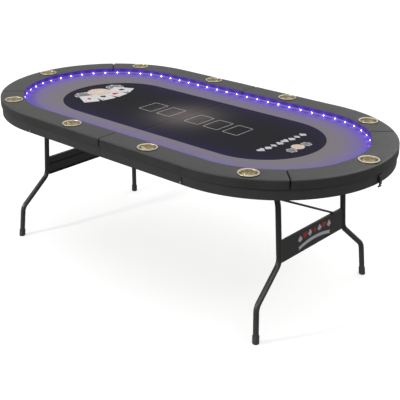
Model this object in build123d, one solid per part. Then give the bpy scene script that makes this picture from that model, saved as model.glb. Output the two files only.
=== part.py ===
from build123d import *
from math import asin, atan2, cos, degrees, hypot, pi, radians, sin, sqrt
import os

os.makedirs("parts", exist_ok=True)

# Folding ten-place card table, millimetres.  Origin on the floor under the middle of the fold,
# +X along the length, +Y towards the far rail, +Z up.  Each half carries a wishbone leg set.

# ---- driving dimensions -------------------------------------------------------------------
table_length = 2130.0        # over the padded rail, tip to tip
table_width = 1110.0         # over the padded rail
rail_top_z = 762.0           # top of the padded rail above the floor
rail_width = 118.0           # padded rail, outer face to inner wall
fold_gap = 1.5               # between the two halves at the fold
pad_gap = 1.5                # between neighbouring rail pads

deck_underside_z = 716.0
deck_thickness = 12.0
cloth_thickness = 2.5
ring_thickness = 12.0        # board ring under the rail padding
ring_margin = 6.0            # padding thickness beside the board ring
skirt_thickness = 5.7        # padding over the edge of the deck
pad_skirt_drop = 44.0        # height of the padded band seen from the side
pad_outer_round = 18.0
pad_inner_round = 12.0
pad_hem_round = 2.5
board_clearance = 0.3        # between curved boards and the padding around them

apron_bottom_z = 674.0
apron_thickness = 13.0
beam_thickness = 15.0        # cross beam at each side of the fold

cup_mouth_radius = 36.5
cup_wall = 1.0
cup_rim_width = 9.5
cup_rim_height = 2.2
cup_floor_z = 711.0
cup_hole_clearance = 0.5
inner_cup_x = 240.0          # the pair of cups nearest the fold
corner_cup_angle = 62.9      # the corner cups, measured round the end arc

led_strip_height = 8.0
led_strip_thickness = 0.8
led_strip_bottom_z = 732.5
led_pitch = 66.7
led_chip_size = 5.0
led_chip_thickness = 1.2

leg_cup_offset = 2.95        # the leg pivot lies this much inward of the corner cup's middle
leg_hinge_z = 692.0
leg_foot_out = 47.0          # the feet stand this much further out than the pivot
tube_radius = 12.5
tube_wall = 1.5
foot_inset = 119.0           # from the apron's inner face to the foot
shin_lean = 11.0             # from the foot in to the top of the shin
shin_z = 161.0
upright_inset = 173.0        # from the foot in to the upright
upright_bottom_z = 302.0
journal_inset = 35.4         # from the apron's inner face to the end of the journal
shoulder_bend = 150.0
knee_bend = 55.0
foot_cap_wall = 3.0
foot_cap_height = 36.0
foot_cap_floor = 7.0
running_clearance = 0.05

panel_bottom_z = 300.0
panel_top_z = 398.0
panel_thickness = 2.0
panel_flange = 12.0
panel_rib_height = 10.0
panel_rib_depth = 5.0
brace_radius = 4.8
brace_offset = 1.0           # the brace lies this much inward of the leg frame's own plane
brace_low_inset = 44.0       # from the far upright in to the lower end of the brace
brace_low_z = 380.0
brace_high_z = 588.0

bracket_inset = 14.0         # from the end of the journal to the middle of the bracket
bracket_plate = 4.0
bracket_ear = 8.0            # steel round the journal
bracket_cup_gap = 7.0        # between the corner cup's hole and the bracket's feet
bracket_foot_length = 16.0
bracket_foot_width = 30.0
bracket_foot_plate = 3.0
bracket_top_gap = 1.5        # below the cup that sits over the bracket

stay_reach = 130.0           # from the leg pivot to the stay's pivot on the deck
stay_pivot_drop = 75.0       # from the leg pivot down to the stay's pivot on the leg
stay_pivot_rise = 13.0       # the deck pivot sits this much above the leg pivot
stay_link_width = 13.6
stay_link_plate = 3.0
stay_tube_gap = 2.5          # between the leg link and the upright when folded
stay_plane_gap = 1.0
stay_pin_radius = 4.0
stay_rivet_head = 2.0
stay_ear_width = 20.0
stay_ear_plate = 3.0
stay_foot_width = 28.0
stay_foot_length = 26.0
stay_foot_plate = 2.5

hinge_inset = 149.0          # from the end of the beam to the middle of the outer hinges
hinge_length = 90.0
hinge_leaf_width = 30.0
hinge_leaf_plate = 2.5
hinge_knuckle_radius = 4.5
hinge_pin_radius = 2.0
hinge_relief = 1.0

side_latch_x = 478.5
side_latch_z = 684.0
side_hook_length = 24.0
side_hook_plate = 2.5
side_stud_radius = 3.0
side_stud_head_radius = 5.5
side_stud_head = 1.8
side_hook_nose = 7.0         # width of the hook plate at its point
side_hook_notch = 10.0       # length of the notch that takes the keeper stud
latch_face_gap = 0.3         # between a latch part and the apron face behind it

tip_latch_width = 22.0
tip_latch_depth = 9.2        # how far the latch and its keeper stand out from the apron
tip_base_plate = 1.8
tip_ear_plate = 2.0
tip_ear_radius = 3.2
tip_pin_radius = 1.5
tip_pivot_out = 6.0
tip_pivot_z = 706.0
tip_lever_boss = 3.2
tip_lever_plate = 2.0
tip_lever_bottom_z = 670.0
tip_bail_out = 4.6
tip_bail_pivot_z = 694.0
tip_bail_plate = 1.6
tip_bail_boss = 2.2
tip_bail_pin_radius = 1.2
tip_lug_plate = 1.8
tip_lug_radius = 2.3
tip_bail_width = 12.0
tip_knob_radius = 3.8
tip_knob_z = 662.0
tip_knob_width = 18.0
keeper_height = 28.0         # back plate of the catch on the left tip
keeper_lip = 8.0             # height of the catch's upturned lip
keeper_shelf = 3.0
keeper_plate = 2.0

control_x = 900.0
control_length = 80.0
control_width = 50.0
control_height = 20.0
button_radius = 6.0
button_travel = 1.2
button_stand = 2.0
jack_radius = 3.0
jack_depth = 10.0
jack_inset = 15.0
box_round = 2.0
button_well_depth = 8.0
button_well_gap = 0.3
button_rest_gap = 1.0        # left between the button and the well's floor when pressed

# ---- worked out from the driving dimensions -----------------------------------------------
outer_radius = table_width / 2
end_centre_x = table_length / 2 - outer_radius
inner_radius = outer_radius - rail_width
rail_mid_radius = outer_radius - rail_width / 2
half_gap = fold_gap / 2
deck_top_z = deck_underside_z + deck_thickness
cloth_top_z = deck_top_z + cloth_thickness
ring_top_z = deck_top_z + ring_thickness
deck_radius = outer_radius - skirt_thickness - board_clearance
apron_outer_radius = deck_radius
apron_inner_radius = apron_outer_radius - apron_thickness
ring_outer_radius = deck_radius - ring_margin
ring_inner_radius = inner_radius + ring_margin
pad_hem_z = rail_top_z - pad_skirt_drop
cup_outer_radius = cup_mouth_radius + cup_wall
cup_hole_radius = cup_outer_radius + cup_hole_clearance
splay = degrees(asin(leg_foot_out / hypot(leg_foot_out, leg_hinge_z)))
fold_axis_z = apron_bottom_z - hinge_leaf_plate
cup_rim_radius = cup_mouth_radius + cup_rim_width
tip_face_x = end_centre_x + apron_outer_radius
side_face_y = apron_outer_radius
hinge_stations = (-side_face_y + hinge_inset, 0.0, side_face_y - hinge_inset)
corner_cup = (
    end_centre_x + rail_mid_radius * cos(radians(corner_cup_angle)),
    rail_mid_radius * sin(radians(corner_cup_angle)),
)
leg_hinge_x = corner_cup[0] - leg_cup_offset
foot_y = apron_inner_radius - foot_inset
shin_y = foot_y - shin_lean
upright_y = foot_y - upright_inset
wall_y_at_pivot = sqrt(apron_inner_radius**2 - max(leg_hinge_x - end_centre_x, 0) ** 2)
journal_end_y = wall_y_at_pivot - journal_inset
bracket_y = journal_end_y - bracket_inset
foot_cap_radius = tube_radius + foot_cap_wall
stay_plane_y = upright_y - tube_radius - stay_tube_gap - stay_link_plate

cup_places = {
    "end": (end_centre_x + rail_mid_radius, 0.0),
    "front_corner": (corner_cup[0], -corner_cup[1]),
    "back_corner": corner_cup,
    "front_inner": (inner_cup_x, -rail_mid_radius),
    "back_inner": (inner_cup_x, rail_mid_radius),
}


def on_side(shape, side):
    """The right-hand shape itself, or its mirror image for the left half."""
    return shape if side > 0 else mirror(shape, about=Plane.YZ)


def across(shape):
    """The far-side twin of a shape made at the near side (-Y)."""
    return mirror(shape, about=Plane.XZ)


def save(name, *solids):
    """Write one node as its own STEP file."""
    shape = solids[0] if len(solids) == 1 else Compound(children=list(solids))
    export_step(shape, os.path.join("parts", name + ".step"))


def block(x_span, y_span, z_span):
    """Box between two limits on each axis."""
    size = [high - low for low, high in (x_span, y_span, z_span)]
    middle = [(low + high) / 2 for low, high in (x_span, y_span, z_span)]
    return Pos(*middle) * Box(*size)


def rod_along_y(x, z, y_from, y_to, radius):
    """Round bar parallel to the Y axis."""
    length = abs(y_to - y_from)
    return Pos(x, (y_from + y_to) / 2, z) * Rot(90, 0, 0) * Cylinder(radius, length)


def link_between(start, end, y_span, width):
    """Flat bar with round ends between two pivots given as (x, z)."""
    length = hypot(end[0] - start[0], end[1] - start[1])
    turn = degrees(atan2(end[1] - start[1], end[0] - start[0]))
    outline = SlotCenterToCenter(length, width)
    bar = Rot(90, 0, 0) * extrude(outline, amount=(y_span[1] - y_span[0]) / 2, both=True)
    middle = ((start[0] + end[0]) / 2, (y_span[0] + y_span[1]) / 2, (start[1] + end[1]) / 2)
    return Pos(*middle) * Rot(0, -turn, 0) * bar


# ---- the oval of one half -----------------------------------------------------------------
def half_oval(radius, start_x):
    """Right-hand half of an oval with round ends of the given radius, from start_x outward."""
    oval = SlotCenterToCenter(2 * end_centre_x, 2 * radius)
    return oval & Pos(start_x + table_length / 2, 0) * Rectangle(table_length, table_width)


def half_plate(radius, z_from, height):
    """Flat board covering the right half."""
    return extrude(Pos(0, 0, z_from) * half_oval(radius, half_gap), amount=height)


def half_ring(outer, inner, z_from, height, start_x=half_gap):
    """Board or wall that follows the oval between two radii."""
    outline = half_oval(outer, start_x) - SlotCenterToCenter(2 * end_centre_x, 2 * inner)
    return extrude(Pos(0, 0, z_from) * outline, amount=height)


def cup_holes(z_from, z_to):
    """Round cutters for the five cup holders of the right half."""
    cutters = []
    for x, y in cup_places.values():
        middle = Pos(x, y, (z_from + z_to) / 2)
        cutters.append(middle * Cylinder(cup_hole_radius, z_to - z_from))
    return cutters


def make_deck_board():
    board = half_plate(deck_radius, deck_underside_z, deck_thickness)
    return board - cup_holes(apron_bottom_z, rail_top_z + 1)


def make_play_cloth():
    return half_plate(inner_radius - board_clearance, deck_top_z, cloth_thickness)


def make_rail_base():
    ring = half_ring(ring_outer_radius, ring_inner_radius, deck_top_z, ring_thickness)
    return ring - cup_holes(apron_bottom_z, rail_top_z + 1)


def make_side_apron():
    """Upright wall under the edge of the deck, butting against the cross beam."""
    height = deck_underside_z - apron_bottom_z
    start_x = half_gap + beam_thickness
    wall = half_ring(apron_outer_radius, apron_inner_radius, apron_bottom_z, height, start_x)
    return wall - cup_holes(cup_floor_z - cup_hole_clearance, deck_underside_z)


def make_centre_beam():
    """Cross beam at the fold, relieved round the hinge knuckles."""
    beam = block(
        (half_gap, half_gap + beam_thickness),
        (-apron_outer_radius, apron_outer_radius),
        (apron_bottom_z, deck_underside_z),
    )
    for y in hinge_stations:
        reach = hinge_length / 2 + hinge_relief
        beam -= rod_along_y(0, fold_axis_z, y - reach, y + reach, hinge_knuckle_radius + hinge_relief)
    return beam


# ---- padded rail --------------------------------------------------------------------------
def pad_section():
    """Rail padding in the plane of radius (x) and height (y), wrapped round ring and deck edge."""
    lip_z = cloth_top_z + board_clearance
    ring_in = ring_inner_radius - board_clearance
    ring_out = ring_outer_radius + board_clearance
    deck_out = deck_radius + board_clearance
    outline = Polyline(
        (outer_radius, pad_hem_z),
        (outer_radius, rail_top_z),
        (inner_radius, rail_top_z),
        (inner_radius, lip_z),
        (ring_in, lip_z),
        (ring_in, ring_top_z),
        (ring_out, ring_top_z),
        (ring_out, deck_top_z + board_clearance),
        (deck_out, deck_top_z + board_clearance),
        (deck_out, pad_hem_z),
        close=True,
    )
    face = make_face(Plane.XY * outline)

    def corner(x, y):
        return face.vertices().sort_by_distance((x, y, 0))[0]

    face = fillet(corner(outer_radius, rail_top_z), pad_outer_round)
    face = fillet(face.vertices().sort_by_distance((inner_radius, rail_top_z, 0))[0:1], pad_inner_round)
    face = fillet(face.vertices().sort_by_distance((outer_radius, pad_hem_z, 0))[0:1], pad_hem_round)
    return Rot(90, 0, 0) * face


def pad_arc(angle_from, angle_to):
    """Padding turned round the end centre between two angles."""
    start = Rot(0, 0, angle_from) * pad_section()
    turned = revolve(start, axis=Axis.Z, revolution_arc=angle_to - angle_from)
    return Pos(end_centre_x, 0, 0) * turned


def make_end_pad():
    """Quarter turn of padding at the tip, with the end cup's hole."""
    shrink = degrees(pad_gap / 2 / outer_radius)
    return pad_arc(-45 + shrink, 45 - shrink) - cup_holes(apron_bottom_z, rail_top_z + 1)


def make_back_pad():
    """Long pad from the corner seam to the fold, with two cup holes."""
    shrink = degrees(pad_gap / 2 / outer_radius)
    corner = pad_arc(45 + shrink, 90)
    side = Pos(end_centre_x, 0, 0) * Rot(0, 0, 90) * pad_section()
    straight = extrude(side, amount=end_centre_x - half_gap, dir=(-1, 0, 0))
    return corner + straight - cup_holes(apron_bottom_z, rail_top_z + 1)


# ---- cup holders --------------------------------------------------------------------------
def make_cup(x, y):
    """Drawn metal cup with a rolled rim that rests on the padding."""
    rim_top = rail_top_z + cup_rim_height
    roll = cup_rim_height / 2
    outline = Polyline(
        (0, cup_floor_z),
        (cup_outer_radius, cup_floor_z),
        (cup_outer_radius, rail_top_z),
        (cup_rim_radius, rail_top_z),
        (cup_rim_radius, rim_top - roll),
        (cup_rim_radius - roll, rim_top),
        (cup_mouth_radius + roll, rim_top),
        (cup_mouth_radius, rim_top - roll),
        (cup_mouth_radius, cup_floor_z + cup_wall),
        (0, cup_floor_z + cup_wall),
        close=True,
    )
    section = Rot(90, 0, 0) * make_face(outline)
    return Pos(x, y, 0) * revolve(section, axis=Axis.Z)


# ---- light strip --------------------------------------------------------------------------
def make_led_strip():
    """Flexible strip along the inner wall of the rail."""
    outer = inner_radius - board_clearance / 2
    return half_ring(outer, outer - led_strip_thickness, led_strip_bottom_z, led_strip_height)


def make_led_chips():
    """Light chips at an even pitch, each a separate block, from the fold round to the fold."""
    face_radius = inner_radius - board_clearance / 2 - led_strip_thickness
    straight = end_centre_x
    total = 2 * straight + pi * face_radius
    count = round(total / led_pitch)
    chip = Box(led_chip_size, led_chip_thickness, led_chip_size)
    chip_z = led_strip_bottom_z + led_strip_height / 2
    chip_y = face_radius - led_chip_thickness / 2 - led_chip_size**2 / (8 * face_radius)
    chips = []
    for index in range(count):
        along = (index + 0.5) * total / count
        if along < straight:
            place = Pos(along, chip_y, chip_z)
        elif along < straight + pi * face_radius:
            turn = degrees((along - straight) / face_radius)
            place = Pos(end_centre_x, 0, chip_z) * Rot(0, 0, -turn) * Pos(0, chip_y, 0)
        else:
            place = Pos(total - along, -chip_y, chip_z)
        chips.append(place * chip)
    return chips


# ---- fold hinges --------------------------------------------------------------------------
def hinge_leaf(y, knuckle_spans):
    """One leaf under the right-hand beam with its knuckles round the fold axis."""
    leaf = block(
        (half_gap, half_gap + hinge_leaf_width),
        (y - hinge_length / 2, y + hinge_length / 2),
        (fold_axis_z, apron_bottom_z),
    )
    leaf -= rod_along_y(
        0, fold_axis_z, y - hinge_length, y + hinge_length, hinge_knuckle_radius + hinge_relief / 2
    )
    for low, high in knuckle_spans:
        leaf += rod_along_y(0, fold_axis_z, y + low, y + high, hinge_knuckle_radius)
        leaf += block(
            (0, hinge_knuckle_radius + hinge_relief),
            (y + low, y + high),
            (fold_axis_z, apron_bottom_z),
        )
    bore = hinge_pin_radius + running_clearance
    return leaf - rod_along_y(0, fold_axis_z, y - hinge_length, y + hinge_length, bore)


def make_hinges():
    """Three butt hinges: leaves under the left beam, leaves under the right beam, and pins."""
    third = hinge_length / 6
    space = hinge_relief / 2
    outer_spans = ((-3 * third, -third - space), (third + space, 3 * third))
    middle_span = ((-third + space, third - space),)
    left = [on_side(hinge_leaf(y, outer_spans), -1) for y in hinge_stations]
    right = [hinge_leaf(y, middle_span) for y in hinge_stations]
    reach = hinge_length / 2
    pins = [rod_along_y(0, fold_axis_z, y - reach, y + reach, hinge_pin_radius) for y in hinge_stations]
    return left, right, pins


# ---- leg sets -----------------------------------------------------------------------------
# A leg set is drawn upright in the plane x = leg_hinge_x, then turned about the leg pivot so
# that the feet stand further out than the pivot.
leg_length_scale = 1 / cos(radians(splay))


def down_leg(z):
    """Height in the upright drawing for a height above the floor on the splayed leg."""
    return leg_hinge_z - (leg_hinge_z - z) * leg_length_scale


def splayed(shape):
    """Turn an upright drawing of the right leg set about its pivot axis."""
    return Pos(leg_hinge_x, 0, leg_hinge_z) * Rot(0, -splay, 0) * Pos(-leg_hinge_x, 0, -leg_hinge_z) * shape


def tube_path():
    """Centre line of the far tube: foot, shin, knee bend, upright and shoulder to the journal."""
    ankle = down_leg(foot_cap_floor)
    run_y = foot_y - shin_y
    ankle_y = foot_y - run_y * foot_cap_floor / shin_z
    points = (
        (ankle_y, ankle),
        (shin_y, down_leg(shin_z)),
        (upright_y, down_leg(upright_bottom_z)),
        (upright_y, leg_hinge_z),
        (journal_end_y, leg_hinge_z),
    )
    path = FilletPolyline(*points, radius=[knee_bend, knee_bend, shoulder_bend])
    return Plane((leg_hinge_x, 0, 0), x_dir=(0, 1, 0), z_dir=(1, 0, 0)) * path


def tube_y_below_pivot(drop):
    """Distance of the tube's centre line from the middle, at a drop below the leg pivot."""
    if drop >= shoulder_bend:
        return upright_y
    return upright_y + shoulder_bend - sqrt(shoulder_bend**2 - (shoulder_bend - drop) ** 2)


def make_back_tube():
    """Bent leg tube with the welded stud that carries the stay."""
    path = tube_path()
    ring = Circle(tube_radius) - Circle(tube_radius - tube_wall)
    tube = sweep(Plane(origin=path @ 0, z_dir=path % 0) * ring, path=path)
    stud_z = leg_hinge_z - stay_pivot_drop
    stud_end = tube_y_below_pivot(stay_pivot_drop) - tube_radius + tube_wall
    stud = rod_along_y(leg_hinge_x, stud_z, stay_plane_y, stud_end, stay_pin_radius)
    return splayed(tube + stud)


def make_foot_cap():
    """Rubber cap on the far foot, cut level with the floor."""
    lean = degrees(atan2(foot_y - shin_y, shin_z))
    bottom = down_leg(-10.0)
    top = down_leg(foot_cap_height)
    shell = Pos(0, 0, (top - bottom) / 2) * Cylinder(foot_cap_radius, top - bottom)
    socket_low = down_leg(foot_cap_floor) - bottom
    socket = Pos(0, 0, socket_low + 50) * Cylinder(tube_radius + running_clearance, 100)
    cap = chamfer((shell - socket).edges().group_by(Axis.Z)[-1], foot_cap_wall / 3)
    out_y = foot_y + (foot_y - shin_y) * 10.0 / shin_z
    cap = splayed(Pos(leg_hinge_x, out_y, bottom) * Rot(lean, 0, 0) * cap)
    return cap - block((0, table_length), (-table_width, table_width), (-100, 0))


def make_panel():
    """Folded sheet panel between the uprights, with a pressed rib and a notch for the brace."""
    half_width = upright_y - tube_radius - running_clearance
    low = down_leg(panel_bottom_z)
    high = down_leg(panel_top_z)
    face_x = (leg_hinge_x + panel_flange / 2 - panel_thickness, leg_hinge_x + panel_flange / 2)
    flange_x = (leg_hinge_x - panel_flange / 2, leg_hinge_x + panel_flange / 2)
    panel = block(face_x, (-half_width, half_width), (low, high))
    panel += block(flange_x, (-half_width, half_width), (high - panel_thickness, high))
    panel += block(flange_x, (-half_width, half_width), (low, low + panel_thickness))
    middle = (low + high) / 2
    rib_x = (face_x[0] - panel_rib_depth, face_x[0])
    rib_z = (middle - panel_rib_height / 2, middle + panel_rib_height / 2)
    panel += block(rib_x, (-half_width, half_width), rib_z)
    return splayed(panel - brace_rod(brace_radius + board_clearance))


def brace_rod(radius):
    """Diagonal rod in the upright drawing, from behind the panel up to the near upright."""
    end_z = down_leg(brace_high_z)
    end_y = tube_y_below_pivot(leg_hinge_z - end_z) - tube_radius + tube_wall / 2
    start = (upright_y - brace_low_inset, down_leg(brace_low_z))
    end = (-end_y, end_z)
    length = hypot(end[0] - start[0], end[1] - start[1])
    lean = degrees(atan2(end[1] - start[1], end[0] - start[0]))
    middle = Pos(leg_hinge_x - brace_offset, (start[0] + end[0]) / 2, (start[1] + end[1]) / 2)
    return middle * Rot(lean, 0, 0) * Rot(90, 0, 0) * Cylinder(radius, length)


def make_brace():
    """Diagonal rod that squares up the leg frame, welded to the near upright."""
    return splayed(brace_rod(brace_radius))


def make_leg_bracket():
    """Bridge-shaped steel bracket under the deck that carries one journal, below the corner cup."""
    web_y = (bracket_y - bracket_plate / 2, bracket_y + bracket_plate / 2)
    half_span = leg_cup_offset + cup_hole_radius + bracket_cup_gap + bracket_foot_length
    web_top = cup_floor_z - bracket_top_gap
    ear_radius = tube_radius + bracket_ear
    web = block(
        (leg_hinge_x - half_span, leg_hinge_x + half_span),
        web_y,
        (leg_hinge_z + 2, web_top),
    )
    web += rod_along_y(leg_hinge_x, leg_hinge_z, web_y[0], web_y[1], ear_radius) & block(
        (leg_hinge_x - 50, leg_hinge_x + 50), web_y, (apron_bottom_z, web_top)
    )
    for direction in (-1, 1):
        low, high = sorted(
            (direction * half_span, direction * (half_span - bracket_foot_length))
        )
        feet_x = (leg_hinge_x + low, leg_hinge_x + high)
        web += block(feet_x, web_y, (web_top - 1, deck_underside_z))
        feet_y = (web_y[1] - bracket_foot_width, web_y[1])
        web += block(feet_x, feet_y, (deck_underside_z - bracket_foot_plate, deck_underside_z))
    return web - rod_along_y(
        leg_hinge_x, leg_hinge_z, web_y[0] - 5, web_y[1] + 5, tube_radius + running_clearance
    )


# ---- folding stays ------------------------------------------------------------------------
# Each stay is two flat links.  Straight, they hold the leg open; folded, the elbow lies beside
# the deck pivot's level and the leg link doubles back.
stay_deck_pivot = (leg_hinge_x - stay_reach, leg_hinge_z + stay_pivot_rise)
stay_leg_pivot = (
    leg_hinge_x + stay_pivot_drop * sin(radians(splay)),
    leg_hinge_z - stay_pivot_drop * cos(radians(splay)),
)
stay_open_span = hypot(
    stay_leg_pivot[0] - stay_deck_pivot[0], stay_leg_pivot[1] - stay_deck_pivot[1]
)
# Elbow's inward distance from the leg pivot when folded, from the two lengths adding up straight.
stay_spare = stay_open_span - stay_reach
stay_elbow_reach = (stay_pivot_drop**2 + stay_pivot_rise**2 - stay_spare**2) / (
    2 * (stay_pivot_drop + stay_spare)
)
stay_deck_link_length = stay_reach - stay_elbow_reach
stay_share = stay_deck_link_length / stay_open_span
stay_elbow = (
    stay_deck_pivot[0] + (stay_leg_pivot[0] - stay_deck_pivot[0]) * stay_share,
    stay_deck_pivot[1] + (stay_leg_pivot[1] - stay_deck_pivot[1]) * stay_share,
)
leg_link_y = (stay_plane_y, stay_plane_y + stay_link_plate)
deck_link_y = (leg_link_y[0] - stay_plane_gap - stay_link_plate, leg_link_y[0] - stay_plane_gap)


def make_deck_link():
    """Far-side link from the deck pivot to the elbow, with the elbow rivet's head."""
    link = link_between(stay_deck_pivot, stay_elbow, deck_link_y, stay_link_width)
    link -= rod_along_y(
        stay_deck_pivot[0], stay_deck_pivot[1], 100, 300, stay_pin_radius + running_clearance
    )
    return link + rod_along_y(
        stay_elbow[0],
        stay_elbow[1],
        deck_link_y[0] - stay_rivet_head,
        deck_link_y[0],
        stay_pin_radius + 1,
    )


def make_leg_link():
    """Far-side link from the elbow to the stud on the leg tube."""
    link = link_between(stay_elbow, stay_leg_pivot, leg_link_y, stay_link_width)
    return link - rod_along_y(
        stay_leg_pivot[0], stay_leg_pivot[1], 100, 300, stay_pin_radius + running_clearance
    )


def make_stay_bracket():
    """Angle bracket under the deck with the pin that the deck link turns on."""
    x, z = stay_deck_pivot
    ear_end = deck_link_y[0] - stay_plane_gap
    ear_y = (ear_end - stay_ear_plate, ear_end)
    half = stay_ear_width / 2
    ear = block((x - half, x + half), ear_y, (z, deck_underside_z))
    ear += rod_along_y(x, z, ear_y[0], ear_y[1], half)
    ear = ear & block((x - 2 * half, x + 2 * half), ear_y, (apron_bottom_z, deck_underside_z))
    ear += block(
        (x - stay_foot_width / 2, x + stay_foot_width / 2),
        (ear_end - stay_foot_length, ear_end),
        (deck_underside_z - stay_foot_plate, deck_underside_z),
    )
    return ear + rod_along_y(x, z, ear_y[1] - 1, deck_link_y[1], stay_pin_radius)


# ---- latches ------------------------------------------------------------------------------
def make_side_stud(x):
    """Shoulder screw in the near apron face."""
    shank_end = -side_face_y - side_hook_plate - latch_face_gap - 0.4
    stud = rod_along_y(x, side_latch_z, -side_face_y, shank_end, side_stud_radius)
    head = rod_along_y(x, side_latch_z, shank_end, shank_end - side_stud_head, side_stud_head_radius)
    return stud + head


def make_side_hook():
    """Three-cornered hook plate on the near apron face, stowed pointing up."""
    base = side_stud_head_radius + 1.5
    tip = side_hook_length
    nose = side_hook_nose / 2
    outline = Polyline(
        (-base, 1 - base), (base, 1 - base), (base, 2), (nose, tip), (-nose, tip), (-base, 2), close=True
    )
    plate = make_face(outline) - Circle(side_stud_radius + running_clearance)
    notch_z = 2 * (side_latch_z - fold_axis_z)
    notch_x = base - side_hook_notch + 0.5
    notch = Pos(notch_x, min(notch_z, tip - 5)) * Rectangle(side_hook_notch, 2 * side_stud_radius)
    plate = plate - notch
    hook = Rot(90, 0, 0) * extrude(plate, amount=side_hook_plate)
    return Pos(side_latch_x, -side_face_y - latch_face_gap, side_latch_z) * hook


def make_tip_base():
    """Base plate of the draw latch on the tip of the right apron, with two ears."""
    half = tip_latch_width / 2
    x = tip_face_x
    ear_x = (x + 0.2, x + tip_pivot_out)
    ear_z = (tip_pivot_z - 4, tip_pivot_z + 4)
    plate = block((x + 0.2, x + tip_base_plate), (-half, half), (apron_bottom_z + 2, tip_pivot_z + 6))
    for low, high in ((-half, tip_ear_plate - half), (half - tip_ear_plate, half)):
        plate += block(ear_x, (low, high), ear_z)
        plate += rod_along_y(x + tip_pivot_out, tip_pivot_z, low, high, tip_ear_radius)
    bore = tip_pin_radius + running_clearance
    return plate - rod_along_y(x + tip_pivot_out, tip_pivot_z, -half - 5, half + 5, bore)


def tip_lever_half_width():
    """Half the lever's width, which fits between the two ears."""
    return tip_latch_width / 2 - tip_ear_plate - 0.5


def make_tip_lever():
    """Lever with its pivot pin and the two lugs that carry the bail."""
    half = tip_lever_half_width()
    x = tip_face_x
    pivot_x = x + tip_pivot_out
    plate_x = (pivot_x + tip_lever_boss - tip_lever_plate, pivot_x + tip_lever_boss)
    pin_end = tip_latch_width / 2
    lever = block(plate_x, (-half, half), (tip_lever_bottom_z, tip_pivot_z))
    lever += rod_along_y(pivot_x, tip_pivot_z, -half, half, tip_lever_boss)
    lever += rod_along_y(pivot_x, tip_pivot_z, -pin_end, pin_end, tip_pin_radius)
    bail_x = x + tip_bail_out
    lug_z = (tip_bail_pivot_z - tip_lug_radius, tip_bail_pivot_z + tip_lug_radius)
    for low, high in ((-half, tip_lug_plate - half), (half - tip_lug_plate, half)):
        lever += block((bail_x, plate_x[0]), (low, high), lug_z)
        lever += rod_along_y(bail_x, tip_bail_pivot_z, low, high, tip_lug_radius)
    bore = tip_bail_pin_radius + running_clearance
    return lever - rod_along_y(bail_x, tip_bail_pivot_z, -half - 1, half + 1, bore)


def make_tip_bail():
    """Pull plate that hangs from the lever and ends in a round cross bar."""
    half = tip_bail_width / 2
    x = tip_face_x + tip_bail_out
    reach = tip_lever_half_width()
    plate_x = (x - tip_bail_plate / 2, x + tip_bail_plate / 2)
    bail = block(plate_x, (-half, half), (tip_knob_z, tip_bail_pivot_z))
    bail += rod_along_y(x, tip_bail_pivot_z, -half, half, tip_bail_boss)
    bail += rod_along_y(x, tip_bail_pivot_z, -reach, reach, tip_bail_pin_radius)
    return bail + rod_along_y(x, tip_knob_z, -tip_knob_width / 2, tip_knob_width / 2, tip_knob_radius)


def make_tip_keeper():
    """Catch on the tip of the left apron that the latch's cross bar hooks over."""
    half = tip_latch_width / 2
    x = tip_face_x
    shelf_z = apron_bottom_z + keeper_lip
    lip_x = (x + tip_latch_depth - keeper_plate, x + tip_latch_depth)
    back_z = (apron_bottom_z + 2, apron_bottom_z + 2 + keeper_height)
    catch = block((x + 0.2, x + keeper_plate), (-half, half), back_z)
    catch += block((x + 0.2, x + tip_latch_depth), (-half, half), (shelf_z, shelf_z + keeper_shelf))
    catch += block(lip_x, (-half, half), (shelf_z, shelf_z + keeper_lip))
    return on_side(catch, -1)


# ---- light control ------------------------------------------------------------------------
def make_control_box():
    """Housing under the left end of the deck with a button well and a round power inlet below."""
    low_z = deck_underside_z - control_height
    x_span = (-control_x - control_length / 2, -control_x + control_length / 2)
    y_span = (-control_width / 2, control_width / 2)
    box = block(x_span, y_span, (low_z, deck_underside_z))
    box = fillet(box.edges().group_by(Axis.Z)[0], box_round)
    well_middle = Pos(-control_x, 0, low_z + button_well_depth / 2)
    well = well_middle * Cylinder(button_radius + button_well_gap, button_well_depth)
    jack = Pos(x_span[0] + jack_inset, 0, low_z + jack_depth / 2) * Cylinder(jack_radius, jack_depth)
    return box - well - jack


def make_power_button():
    """Round push button in the bottom of the control box."""
    low_z = deck_underside_z - control_height
    length = button_stand + button_well_depth - button_travel - button_rest_gap
    return Pos(-control_x, 0, low_z - button_stand + length / 2) * Cylinder(button_radius, length)


# ---- write every node ---------------------------------------------------------------------
deck = make_deck_board()
cloth = make_play_cloth()
base_ring = make_rail_base()
apron = make_side_apron()
beam = make_centre_beam()
end_pad = make_end_pad()
back_pad = make_back_pad()
strip = make_led_strip()
chips = make_led_chips()
back_tube = make_back_tube()
foot_cap = make_foot_cap()
panel = make_panel()
brace = make_brace()
leg_bracket = make_leg_bracket()
deck_link = make_deck_link()
leg_link = make_leg_link()
stay_bracket = make_stay_bracket()

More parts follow.
